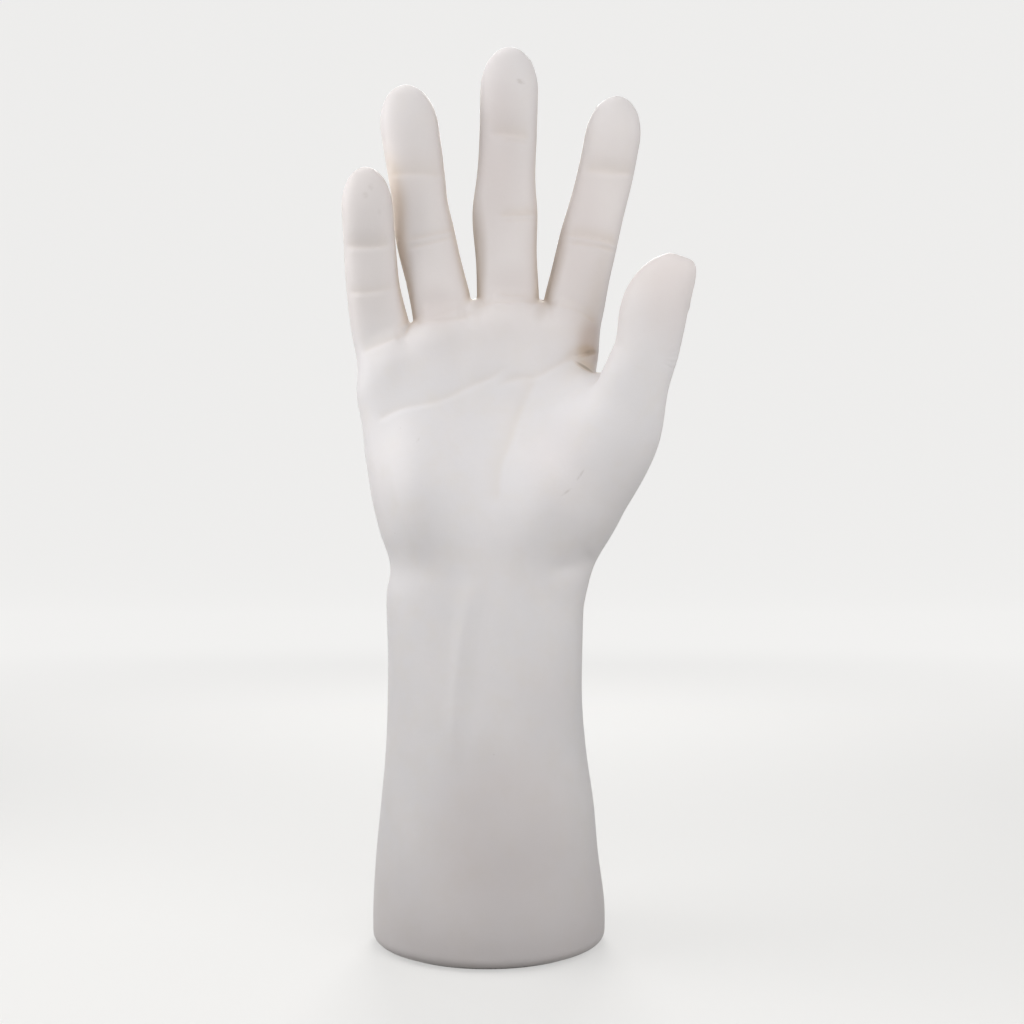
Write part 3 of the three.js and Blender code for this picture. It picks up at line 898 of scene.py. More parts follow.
@dataclass(frozen=True)
class Nail:
    """A fingernail: a plate let into the back of the tip, with a fold of skin round it."""

    edge: float
    length: float
    half_width: float
    centre: float = 0.0
    sideways: bool = False
    rim: float = 0.45
    groove: float = 0.4
    plate: float = 0.25
    edge_bow: float = 1.6
    corner_share: float = 0.8
    narrowing: float = 0.1
    rim_start: float = 4.0
    rim_centre: float = 0.9
    rim_width: float = 0.8
    groove_width: float = 0.4
    under_edge: float = 0.35
    under_centre: float = 0.9
    under_width: float = 0.6
    open_step: Span = (-1.2, 0.4)
    plate_step: Span = (-0.5, 0.1)
    under_step: Span = (-0.8, 0.2)

    def offset(self, surface: Surface, limb: Limb) -> Array:
        """Works out how the nail moves the skin.

        The nail's outline is a rounded box, open at the free edge. A rim of skin stands round
        it, a groove runs inside the rim, and the plate ends in a step above the fingertip.

        Args:
            surface: The skin before its details.
            limb: The digit that carries the nail.

        Returns:
            How far each point moves outwards.
        """
        chosen, back, u, v, sure = surface.local(limb)
        across = (v if self.sideways else u) - self.centre
        behind = u if self.sideways else v
        root = self.edge + self.length
        middle = (self.edge + root) / 2
        half = self.length / 2
        corner = self.half_width * self.corner_share
        side = np.abs(across) - self.half_width * (1 - self.narrowing * smooth_step(back, root, self.edge))
        rootward = back - middle - half
        outer = np.hypot(np.maximum(side + corner, 0), np.maximum(rootward + corner, 0))
        inward = outer + np.minimum(np.maximum(side, rootward) + corner, 0) - corner
        free_edge = self.edge + self.edge_bow * (across / self.half_width) ** 2
        open_end = smooth_step(back - free_edge, *self.open_step)
        fold = self.rim * np.exp(-(((inward - self.rim_centre) / self.rim_width) ** 2))
        fold *= smooth_step(back, self.edge, self.edge + self.rim_start)
        groove = -self.groove * np.exp(-((inward / self.groove_width) ** 2)) * open_end
        inside = 1 - smooth_step(inward, *self.plate_step)
        past = np.exp(-(((back - free_edge + self.under_centre) / self.under_width) ** 2))
        past *= 1 - smooth_step(side, *self.under_step)
        lifted = self.plate * inside * open_end - self.under_edge * past
        return surface.spread(chosen, (fold + groove + lifted) * (behind > 0) * sure)


@dataclass(frozen=True)
class Ridge:
    """A soft ridge under the skin along a line across and up, such as a tendon."""

    line: tuple[Span, ...]
    height: float
    width: float
    palm_side: bool = False
    fade: float = 8.0
    upper_fade: float = 6.0
    facing: Span = (0.3, 0.8)

    def offset(self, surface: Surface) -> Array:
        """Works out how the ridge moves the skin.

        Args:
            surface: The skin before its details.

        Returns:
            How far each point moves outwards.
        """
        rows = np.array(sorted(self.line, key=lambda p: p[1]), float)
        x, y, z = surface.points.T
        centre = smooth_value(list(rows[:, 1]), list(rows[:, 0]), z)
        low, high = rows[0, 1], rows[-1, 1]
        reach = smooth_step(z, low - self.fade, low + self.fade)
        reach *= 1 - smooth_step(z, high - self.fade, high + self.upper_fade)
        sign = -1 if self.palm_side else 1
        facing = smooth_step(sign * surface.normals[:, 1], *self.facing)
        return self.height * np.exp(-(((x - centre) / self.width) ** 2)) * reach * facing


class SkinDetail:
    """Everything that is pressed into the skin: creases, knuckles, nails and tendons."""

    palm_creases = (
        PalmCrease(
            (
                (-41.5, 190.5), (-36, 193.5), (-31, 195.5), (-23.5, 197), (-17, 198.5),
                (-11.5, 201), (-4.5, 204.5), (0.5, 206.5), (5, 209.5), (10.5, 212.5),
            ),
            Fold(0.42, 3.4, 1.2),
            (4, 12),
        ),
        PalmCrease(
            (
                (1.5, 202), (6.5, 205), (11.5, 206.5), (17.5, 207),
                (23, 210), (28.8, 213.1), (32.5, 214.7), (38.2, 216.2),
            ),
            Fold(0.45, 3.0, 1.1),
            (8, 2),
        ),
        PalmCrease(
            ((3, 158), (3, 169.5), (4, 175.5), (7, 183), (9, 189), (11.5, 195.5), (14.5, 202), (17, 207)),
            Fold(0.5, 5.0, 1.8),
            (7, 4),
        ),
        PalmCrease(((27, 212.4), (32.5, 214.7), (39.5, 216.5)), Fold(1.1, 2.0, 0.7), (6, 1)),
        PalmCrease(((30, 213.2), (34, 210.7), (39.5, 208.3)), Fold(1.6, 1.8, 0.5), (4, 1)),
        PalmCrease(
            ((-47, 216), (-43.5, 217.4), (-38, 219.5), (-31.5, 222.4), (-28.5, 225.6)),
            Fold(0.46, 3.0, 1.0),
            (3, 3),
        ),
        PalmCrease(
            ((-28, 225.5), (-24, 227.2), (-18.5, 227), (-13, 227.5), (-9, 228.5), (-5, 231.5)),
            Fold(0.42, 2.4),
            (3, 3),
        ),
        PalmCrease(((-23, 228.2), (-15.5, 229.8), (-9, 232.7)), Fold(0.15, 1.6, 0.6), (4, 4)),
        PalmCrease(
            ((-5, 232), (-0.5, 233.5), (8, 234), (17, 234.5), (20, 234.5)),
            Fold(0.42, 1.8, 0.8),
            (2, 2),
        ),
        PalmCrease(((3, 237.2), (9, 236.4), (15.5, 236.6)), Fold(0.34, 1.6, 0.6), (2, 2)),
        PalmCrease(
            ((20, 234.8), (23, 234), (29, 232.5), (35.5, 229.5), (40, 226.5)),
            Fold(0.38, 2.4),
            (2, 3),
        ),
        PalmCrease(((26.5, 235.2), (32.5, 233.4), (37, 230.9), (40, 229)), Fold(0.2, 1.4, 0.6), (4, 4)),
    )
    heel_folds = (
        PalmCrease(((19, 137.5), (27, 138.3), (34, 140), (38.5, 143.5)), Fold(0.75, 4.5, 4.0), (7, 3)),
        PalmCrease(((-30, 137.8), (-24, 138.5), (-15, 140.5)), Fold(0.12, 5.5, 4.5), (5, 6)),
    )
    ridges = (
        Ridge(((-7, 130.5), (-9, 113), (-11.5, 91.5), (-11.5, 77.5)), 0.8, 2.8, True),
        Ridge(((-1.5, 128), (-3.5, 113), (-5, 91.5), (-5, 80)), -0.45, 2.6, True),
        Ridge(((4, 132), (3, 112), (1, 92)), 0.25, 3.0, True),
        Ridge(((10, 150), (19, 182), (26, 214)), 0.9, 2.6),
        Ridge(((2, 150), (4, 182), (6.2, 217)), 1.0, 2.6),
        Ridge(((-7, 150), (-11, 182), (-14.6, 214)), 0.9, 2.6),
        Ridge(((-16, 150), (-25, 180), (-33, 205)), 0.7, 2.6),
    )
    finger_creases = {
        "little": (
            FingerCrease(27.5, Fold(0.48, 4.5), bow=0.4),
            FingerCrease(43.5, Fold(0.4, 3.2), bow=0.4),
        ),
        "ring": (
            FingerCrease(31.5, Fold(0.5, 5.0), slant=1.4, bow=-0.6, reach=(-0.8, 0.9)),
            FingerCrease(55.6, Fold(0.54, 2.0, 0.7), slant=-0.2, bow=0.5, reach=(-0.5, 0.9)),
            FingerCrease(58.8, Fold(0.54, 1.5, 0.7), slant=-0.2, bow=0.5, reach=(-0.5, 0.8)),
        ),
        "middle": (
            FingerCrease(30.5, Fold(0.68, 4.5), slant=0.6, bow=-0.8, reach=(-0.5, 0.7)),
            FingerCrease(33.0, Fold(0.4, 1.5, 0.7), slant=0.6, bow=-0.8, reach=(-0.2, 0.7)),
            FingerCrease(60.6, Fold(0.74, 3.0, 0.7), slant=-0.8, bow=0.3, reach=(-0.1, 0.9)),
            FingerCrease(63.2, Fold(0.38, 1.3, 0.7), slant=-0.8, bow=0.3, reach=(0.0, 0.8)),
        ),
        "index": (
            FingerCrease(27.0, Fold(0.52, 6.0, 1.4), slant=-1.4, bow=0.3, reach=(-0.7, 0.9)),
            FingerCrease(52.0, Fold(0.95, 3.2, 0.7), slant=-0.7, bow=-0.6, reach=(-0.7, 0.9)),
            FingerCrease(55.1, Fold(0.62, 1.5, 0.7), slant=-1.0, bow=-0.6, reach=(-0.6, 0.9)),
        ),
        "thumb": (FingerCrease(34.0, Fold(0.15, 4.0, 2.0), sideways=True, bow=0.5),),
    }
    knuckles = {
        "little": (KnuckleLines(43.0, 4, 1.8, 0.28), KnuckleLines(26.5, 2, 1.6, 0.22)),
        "ring": (KnuckleLines(54.0, 5, 2.0, 0.3), KnuckleLines(31.5, 3, 1.7, 0.24)),
        "middle": (KnuckleLines(60.5, 5, 2.1, 0.3), KnuckleLines(32.0, 3, 1.8, 0.24)),
        "index": (KnuckleLines(52.0, 5, 2.0, 0.3), KnuckleLines(28.5, 3, 1.7, 0.24)),
        "thumb": (KnuckleLines(34.0, 4, 2.2, 0.16, sideways=True),),
    }
    nails = {
        "little": Nail(2.6, 9.6, 5.4),
        "ring": Nail(2.8, 11.2, 6.6),
        "middle": Nail(2.8, 12.0, 7.0),
        "index": Nail(2.8, 11.2, 6.6),
        "thumb": Nail(1.6, 14.0, 6.4, 2.6, sideways=True, rim=0.3, groove=0.3, plate=0.1),
    }

    def press(self, surface: Surface) -> tuple[Array, Array]:
        """Works out how far the details move the skin.

        Args:
            surface: The skin before its details.

        Returns:
            The move outwards of each point, and how much of it is sharp detail.
        """
        form = surface.form
        fine = sum(crease.offset(surface) for crease in self.palm_creases)
        for limb in (*form.fingers, form.thumb):
            name = limb.name
            for part in (*self.finger_creases[name], *self.knuckles[name], self.nails[name]):
                fine = fine + part.offset(surface, limb)
        soft = sum(part.offset(surface) for part in (*self.ridges, *self.heel_folds))
        return fine + soft, fine


# Meshes


def mesh_object(name: str, points: Array, faces: Array | list) -> Piece:
    """Makes an object at the origin from points in millimetres.

    Args:
        name: Name of the object.
        points: Vertices, one row each, in millimetres.
        faces: Vertex numbers of each face.

    Returns:
        The new object, linked to the scene.
    """
    mesh = bpy.data.meshes.new(name)
    mesh.from_pydata((np.asarray(points) * MM).tolist(), [], [list(map(int, f)) for f in faces])
    mesh.update()
    made = bpy.data.objects.new(name, mesh)
    bpy.context.scene.collection.objects.link(made)
    return made


def vertex_array(mesh: bpy.types.Mesh) -> Array:
    """Reads a mesh's vertices.

    Args:
        mesh: The mesh.

    Returns:
        The vertices in millimetres, one row each.
    """
    flat = np.empty(len(mesh.vertices) * 3, np.float32)
    mesh.vertices.foreach_get("co", flat)
    return flat.reshape(-1, 3).astype(float) / MM


def set_vertices(mesh: bpy.types.Mesh, points: Array) -> None:
    """Moves the mesh's vertices to points in millimetres."""
    mesh.vertices.foreach_set("co", (points * MM).astype(np.float32).ravel())
    mesh.update()


def store_values(mesh: bpy.types.Mesh, name: str, values: Array) -> None:
    """Keeps a value of each vertex under a name, for the finish to read."""
    kept = mesh.attributes.new(name, "FLOAT", "POINT")
    kept.data.foreach_set("value", values.astype(np.float32))


def discard(spent: Piece) -> None:
    """Removes an object and its mesh.

    Args:
        spent: The object.
    """
    mesh = spent.data
    bpy.data.objects.remove(spent)
    bpy.data.meshes.remove(mesh)


def settle_modifier(made: Piece, modifier: bpy.types.Modifier) -> None:
    """Makes a modifier's result the object's own plain mesh, and removes the modifier.

    Args:
        made: The object.
        modifier: Its one modifier.
    """
    bpy.context.view_layer.update()
    shape = made.evaluated_get(bpy.context.evaluated_depsgraph_get())
    result = bpy.data.meshes.new_from_object(shape)
    made.modifiers.remove(modifier)
    old = made.data
    made.data = result
    result.name = made.name
    bpy.data.meshes.remove(old)


def cut_away(target: Piece, cutters: list[Piece]) -> None:
    """Cuts closed meshes out of a closed mesh and removes the cutters.

    Args:
        target: The object that is cut.
        cutters: What is taken out of it.
    """
    for cutter in cutters:
        cut = target.modifiers.new("cut", "BOOLEAN")
        cut.operation = "DIFFERENCE"
        cut.solver = "MANIFOLD"
        cut.object = cutter
        settle_modifier(target, cut)
        discard(cutter)


def set_smooth(made: Piece, angle: float | None = None) -> None:
    """Shades an object smooth, keeping the sharper edges.

    Args:
        made: The object.
        angle: Degrees above which an edge stays sharp, or nothing to keep none.
    """
    mesh = made.data
    mesh.polygons.foreach_set("use_smooth", [True] * len(mesh.polygons))
    if angle is None:
        return
    shape = bmesh.new()
    shape.from_mesh(mesh)
    for edge in shape.edges:
        turned = edge.calc_face_angle(0.0) if len(edge.link_faces) == 2 else 0.0
        edge.smooth = turned < math.radians(angle)
    shape.to_mesh(mesh)
    shape.free()


def oval_lathe(name: str, half_x: float, half_y: float, profile: Profile, sides: int) -> Piece:
    """Makes a closed upright solid of oval section.

    Args:
        name: Name of the object.
        half_x: Half-width of the outline.
        half_y: Half-depth of the outline.
        profile: Height and inset from the outline of each ring, from the bottom up.
        sides: Faces round it.

    Returns:
        The solid.
    """
    turn = np.arange(sides) * 2 * np.pi / sides
    rings = [
        np.stack([(half_x - inset) * np.cos(turn), (half_y - inset) * np.sin(turn), np.full(sides, z)], 1)
        for z, inset in profile
    ]
    last = (len(rings) - 1) * sides
    faces = [
        [low + i, low + (i + 1) % sides, low + sides + (i + 1) % sides, low + sides + i]
        for low in range(0, last, sides)
        for i in range(sides)
    ]
    faces.append(list(range(sides - 1, -1, -1)))
    faces.append([last + i for i in range(sides)])
    return mesh_object(name, np.vstack(rings), faces)


def rounded(z: float, inset: float, radius: float, upper: bool, steps: int = 5) -> Profile:
    """Works out the rings of a rounded rim, from the bottom up, for oval_lathe.

    Args:
        z: Height of the face that the rim meets.
        inset: Inset of the wall that it meets.
        radius: The rim's radius.
        upper: Whether the rim is at the top of the solid.
        steps: Steps round the rim.

    Returns:
        Height and inset of each ring.
    """
    turns = [(i / steps) * math.pi / 2 for i in range(steps + 1)]
    if upper:
        return [(z - radius + radius * math.sin(t), inset + radius * (1 - math.cos(t))) for t in turns]
    return [(z + radius - radius * math.cos(t), inset + radius * (1 - math.sin(t))) for t in turns]


def turned_pin(name: str, profile: Profile, sides: int = 28) -> Piece:
    """Makes a closed round pin on the Z axis from (height, radius) pairs, bottom first."""
    widest = max(r for _, r in profile)
    return oval_lathe(name, widest, widest, [(z, widest - r) for z, r in profile], sides)


def join_meshes(name: str, parts: list[Piece]) -> Piece:
    """Joins objects that lie clear of each other into one, and removes them.

    Args:
        name: Name of the joined object.
        parts: The objects.

    Returns:
        The joined object.
    """
    shape = bmesh.new()
    for part in parts:
        shape.from_mesh(part.data)
        discard(part)
    mesh = bpy.data.meshes.new(name)
    shape.to_mesh(mesh)
    shape.free()
    made = bpy.data.objects.new(name, mesh)
    bpy.context.scene.collection.objects.link(made)
    return made


def move_mesh(made: Piece, x: float, y: float) -> Piece:
    """Moves an object's mesh by millimetres and leaves the object at the origin."""
    made.data.transform(Matrix.Translation(Vector((x, y, 0.0)) * MM))
    return made


# Node trees


class Sheet:
    """A node tree under construction."""

    def __init__(self, tree: bpy.types.NodeTree) -> None:
        """Takes a tree and empties it."""
        self.tree = tree
        tree.nodes.clear()

    @staticmethod
    def find(sockets: bpy.types.bpy_prop_collection, key: str | int) -> bpy.types.NodeSocket:
        """Finds a socket.

        Args:
            sockets: A node's inputs or outputs.
            key: The socket's number, identifier or name.

        Returns:
            The socket.
        """
        if isinstance(key, int):
            return sockets[key]
        return next((s for s in sockets if s.identifier == key), None) or sockets[key]

    def feed(self, socket: bpy.types.NodeSocket, value: object) -> None:
        """Links an output to a socket, or sets the socket's own value.

        Args:
            socket: The input.
            value: An output, wrapped or bare, or a plain value.
        """
        source = value.socket if isinstance(value, Output) else value
        if isinstance(source, bpy.types.NodeSocket):
            self.tree.links.new(source, socket)
        else:
            socket.default_value = source

    def add(self, kind: str, settings: dict | None = None, inputs: dict | None = None) -> bpy.types.Node:
        """Adds a node.

        Args:
            kind: The node's type.
            settings: Its properties, set first.
            inputs: What feeds each input, by name, identifier or number.

        Returns:
            The node.
        """
        made = self.tree.nodes.new(kind)
        for key, value in (settings or {}).items():
            setattr(made, key, value)
        for key, value in (inputs or {}).items():
            self.feed(self.find(made.inputs, key), value)
        return made

    def node(
        self, kind: str, settings: dict | None = None, inputs: dict | None = None, output: str | int = 0
    ) -> "Output":
        """Adds a node and gives one of its outputs.

        Args:
            kind: The node's type.
            settings: Its properties, set first.
            inputs: What feeds each input, by name, identifier or number.
            output: The output, by name, identifier or number.

        Returns:
            The chosen output.
        """
        made = self.add(kind, settings, inputs)
        return Output(self, self.find(made.outputs, output))

    def seen(self) -> "Output":
        """Tells what is seen from the light that it gives.

        Returns:
            1 for what is seen straight, by a mirror or through glass, and 0 for its light.
        """
        rays = self.add("ShaderNodeLightPath").outputs
        kinds = ("Is Camera Ray", "Is Glossy Ray", "Is Transmission Ray")
        straight, mirrored, through = (Output(self, rays[kind]) for kind in kinds)
        return straight.most(mirrored).most(through)


class Output:
    """An output of a node; an expression on it adds its Math nodes."""

    def __init__(self, sheet: Sheet, socket: bpy.types.NodeSocket) -> None:
        """Wraps an output socket."""
        self.sheet = sheet
        self.socket = socket

    def maths(self, operation: str, first: "Output | float", second: "Output | float") -> "Output":
        """Adds a Math node on two values."""
        return self.sheet.node("ShaderNodeMath", {"operation": operation}, {0: first, 1: second})

    def __add__(self, other: "Output | float") -> "Output":
        """Adds."""
        return self.maths("ADD", self, other)

    def __radd__(self, other: float) -> "Output":
        """Adds, with the number first."""
        return self.maths("ADD", other, self)

    def __sub__(self, other: "Output | float") -> "Output":
        """Takes away."""
        return self.maths("SUBTRACT", self, other)

    def __rsub__(self, other: float) -> "Output":
        """Takes away from a number."""
        return self.maths("SUBTRACT", other, self)

    def __mul__(self, other: "Output | float") -> "Output":
        """Multiplies."""
        return self.maths("MULTIPLY", self, other)

    def __rmul__(self, other: float) -> "Output":
        """Multiplies, with the number first."""
        return self.maths("MULTIPLY", other, self)

    def least(self, other: "Output | float") -> "Output":
        """The smaller of two values."""
        return self.maths("MINIMUM", self, other)

    def most(self, other: "Output | float") -> "Output":
        """The larger of two values."""
        return self.maths("MAXIMUM", self, other)

    def step(self, low: float, high: float) -> "Output":
        """Rises smoothly from 0 at low to 1 at high."""
        settings = {"interpolation_type": "SMOOTHSTEP"}
        return self.sheet.node("ShaderNodeMapRange", settings, {0: self, 1: low, 2: high, 3: 0.0, 4: 1.0})


# The pieces


@dataclass(frozen=True)
class BaseSizes:
    """Sizes of the base that its pieces share."""

    half_width: float = BASE_HALF_WIDTH
    half_depth: float = BASE_HALF_DEPTH
    wall: float = 3.0
    lip_width: float = 14.0
    pad_thickness: float = PAD_THICKNESS
    pad_inset: float = 5.0
    pad_edges: Span = (0.3, 0.2)
    flange_thickness: float = 9.0
    flange_edge: float = 1.0
    plug_clearance: float = 0.4
    pin_clearance: float = 0.3
    ballast_half_width: float = 29.0
    ballast_half_depth: float = 24.0
    ballast_thickness: float = 14.0
    ballast_edge: float = 2.0

    @property
    def lip_bottom(self) -> float:
        """Height of the lip's underside."""
        return self.pad_thickness

    @property
    def lip_top(self) -> float:
        """Height of the lip's upper face."""
        return self.lip_bottom + self.wall

    @property
    def flange_top(self) -> float:
        """Height of the plug's upper face."""
        return self.lip_top + self.flange_thickness

    @property
    def ballast_top(self) -> float:
        """Height of the ballast's upper face."""
        return self.flange_top + self.ballast_thickness


class DriveKind(Enum):
    """The pins that hold the base together."""

    LIP_SCREW = "countersunk screw"
    BALLAST_BOLT = "pan-head bolt"


@dataclass(frozen=True)
class PinSizes:
    """Sizes of one kind of screw or bolt, standing point up on the lip's underside."""

    kind: DriveKind
    radius: float
    length: float
    head_radius: float
    head_height: float
    point_radius: float
    cross_span: float
    cross_width: float = 1.2
    cross_depth: float = 1.1
    head_edge: float = 0.4
    seat_step: float = 0.01

    def profile(self, bottom: float, grow: float = 0.0) -> Profile:
        """Heights and radii from the head up.

        Args:
            bottom: Height of the head's face.
            grow: Clearance added all round, for the hole.

        Returns:
            The (height, radius) pairs.
        """
        head_top = bottom + self.head_height + grow
        start = bottom - grow
        head = self.head_radius + grow
        shank = self.radius + grow
        tip = bottom + self.length + grow
        if self.kind is DriveKind.LIP_SCREW:
            rows = [(start, head), (head_top, shank)]
        else:
            edge = 0.0 if grow else self.head_edge
            rows = [(start, head - edge), (start + edge, head), (head_top, head)]
            rows.append((head_top + self.seat_step, shank))
        return rows + [(tip - self.radius + self.point_radius, shank), (tip, self.point_radius + grow)]


def pin_holes(pin: PinSizes, places: Places, base: BaseSizes) -> Piece:
    """Makes the cutters for the holes of one kind of pin.

    Args:
        pin: The pin's sizes.
        places: Where the pins stand.
        base: The base's sizes.

    Returns:
        The cutters as one object.
    """
    profile = pin.profile(base.lip_bottom, base.pin_clearance)
    return join_meshes("holes", [move_mesh(turned_pin("hole", profile), x, y) for x, y in places])


@dataclass
class HandSkin:
    """The hollow vinyl moulding, with the lip that its plug is screwed to."""

    base: BaseSizes
    screw: PinSizes
    hand_step: float = 1.3
    arm_step: float = 2.8
    wrist_level: float = 128.0
    foot_level: float = 8.0
    below: float = -1.0
    top: float = 332.0
    sides: Span = (-56.0, 78.0)
    faces: Span = (-54.0, 45.0)
    hollow_step: float = 3.2
    hollow_from: float = 9.0
    hollow_inset: float = 4.0
    relax_rounds: int = 3
    chunk: int = 150_000
    rough_reach: float = 1.6
    longest_pull: float = 1.5
    refine_from: float = 0.03
    overcut: float = 1.0
    pocket_step: float = 0.001
    pocket_sides: int = 96
    smooth_angle: float = 50.0
    probe_lengths: tuple[float, ...] = (3.0, 6.0, 10.0, 16.0, 24.0, 34.0)

    def __post_init__(self) -> None:
        """Makes the form that the meshes follow."""
        self.form = HandForm()

    def field_on(self, axes: Axes, inset: float, coarse: float = 5.0) -> Array:
        """Reads the field on a grid, exactly near the surface and roughly elsewhere.

        Args:
            axes: The grid's places along X, Y and Z.
            inset: How far inside the outer surface the zero level lies.
            coarse: Step of the rough reading.

        Returns:
            The field, below 0 inside.
        """
        rough_axes = [np.arange(a[0], a[-1] + coarse, coarse) for a in axes]
        grid = np.stack(np.meshgrid(*rough_axes, indexing="ij"), -1)
        rough = self.form.distance(grid.reshape(-1, 3)).reshape(grid.shape[:3]) + inset
        nearest = [
            np.clip(np.rint((fine - rows[0]) / coarse).astype(int), 0, len(rows) - 1)
            for fine, rows in zip(axes, rough_axes)
        ]
        values = rough[np.ix_(*nearest)]
        close = np.argwhere(np.abs(values) < coarse * self.rough_reach)
        for start in range(0, len(close), self.chunk):
            part = close[start : start + self.chunk]
            points = np.stack([axes[k][part[:, k]] for k in range(3)], 1)
            values[tuple(part.T)] = self.form.distance(points) + inset
        return values

    def project(self, points: Array, rounds: int = 2) -> Array:
        """Pulls points onto the surface along the field's slope.

        Args:
            points: Points, one row each.
            rounds: How often they are pulled.

        Returns:
            The pulled points.
        """
        for _ in range(rounds):
            pull = np.clip(self.form.distance(points), -self.longest_pull, self.longest_pull)
            points = points - pull[:, None] * self.form.normal(points)
        return points

    def outer_axes(self) -> Axes:
        """Lays a grid for the outer surface: fine at the hand and the foot, coarse on the arm.

        Returns:
            The grid's places along X, Y and Z.
        """
        foot = np.arange(self.below, self.foot_level, self.hand_step)
        arm = np.arange(self.foot_level, self.wrist_level, self.arm_step)
        hand = np.arange(self.wrist_level, self.top, self.hand_step)
        sides, faces = (np.arange(*span, self.hand_step) for span in (self.sides, self.faces))
        return sides, faces, np.concatenate([foot, arm, hand])

    def refine(self, made: Piece, wanted: Array) -> None:
        """Splits the faces round the chosen vertices in four.

        Args:
            made: The skin.
            wanted: Which of its vertices lie in fine detail.
        """
        shape = bmesh.new()
        shape.from_mesh(made.data)
        shape.verts.ensure_lookup_table()
        edges = {e for i in np.flatnonzero(wanted) for f in shape.verts[i].link_faces for e in f.edges}
        bmesh.ops.subdivide_edges(shape, edges=list(edges), cuts=1, use_grid_fill=True)
        shape.to_mesh(made.data)
        shape.free()
        set_vertices(made.data, self.project(vertex_array(made.data), rounds=1))

    def cavity(self) -> Piece:
        """Makes the hollow inside the moulding, above the plug.

        Returns:
            The hollow as a cutter.
        """
        inset = self.hollow_inset
        spans = (self.sides, self.faces, (-inset, self.top))
        axes = tuple(np.arange(low + inset, high - inset, self.hollow_step) for low, high in spans)
        values = np.maximum(self.field_on(axes, self.base.wall), self.hollow_from - axes[2][None, None, :])
        points, quads = surface_net(values, axes)
        return mesh_object("hollow", relax(points, quads, 1), quads)

    def pocket(self) -> Piece:
        """Makes the straight-sided pocket for the plug, with the opening through the lip.

        Returns:
            The pocket as a cutter.
        """
        base = self.base
        levels = [
            (base.lip_bottom - self.overcut, base.lip_width),
            (base.lip_top, base.lip_width),
            (base.lip_top + self.pocket_step, base.wall),
            (base.flange_top + self.overcut, base.wall),
        ]
        return oval_lathe("pocket", base.half_width, base.half_depth, levels, self.pocket_sides)

    def outer(self) -> Piece:
        """Makes the outer surface, closed and with its details pressed in.

        Returns:
            The outer surface as a solid.
        """
        details = SkinDetail()
        axes = self.outer_axes()
        points, quads = surface_net(self.field_on(axes, 0.0), axes)
        points = self.project(relax(points, quads, self.relax_rounds))
        skin = mesh_object("moulded_skin", points, quads)
        fine = details.press(Surface(self.form, points))[1]
        self.refine(skin, np.abs(fine) > self.refine_from)
        points = vertex_array(skin.data)
        surface = Surface(self.form, points)
        lift, fine = details.press(surface)
        # These values steer the vinyl's painted shade in creases, hollows and the thumb's pocket.
        store_values(skin.data, "pressed", np.clip(-fine, 0, 1))
        store_values(skin.data, "enclosed", self.enclosed(surface))
        set_vertices(skin.data, points + surface.normals * lift[:, None])
        return skin

    def enclosed(self, surface: Surface) -> Array:
        """Works out how much the skin's own flesh hems each place in.

        Args:
            surface: The skin before its details.

        Returns:
            A share for each point, 0 in the open.
        """
        shares = [
            np.clip(1 - self.form.distance(surface.points + surface.normals * reach) / reach, 0, 1)
            for reach in self.probe_lengths
        ]
        return np.mean(shares, axis=0)

    def build(self, holes: Places) -> Piece:
        """Builds the moulding.

        Args:
            holes: Places of the lip screws.

        Returns:
            The finished piece.
        """
        clock = time.time()
        skin = self.outer()
        LOG.info("skin pressed: %d faces, %.1f s", len(skin.data.polygons), time.time() - clock)
        cut_away(skin, [self.cavity(), self.pocket(), pin_holes(self.screw, holes, self.base)])
        set_smooth(skin, self.smooth_angle)
        LOG.info("skin cut: %d faces, %.1f s", len(skin.data.polygons), time.time() - clock)
        return skin


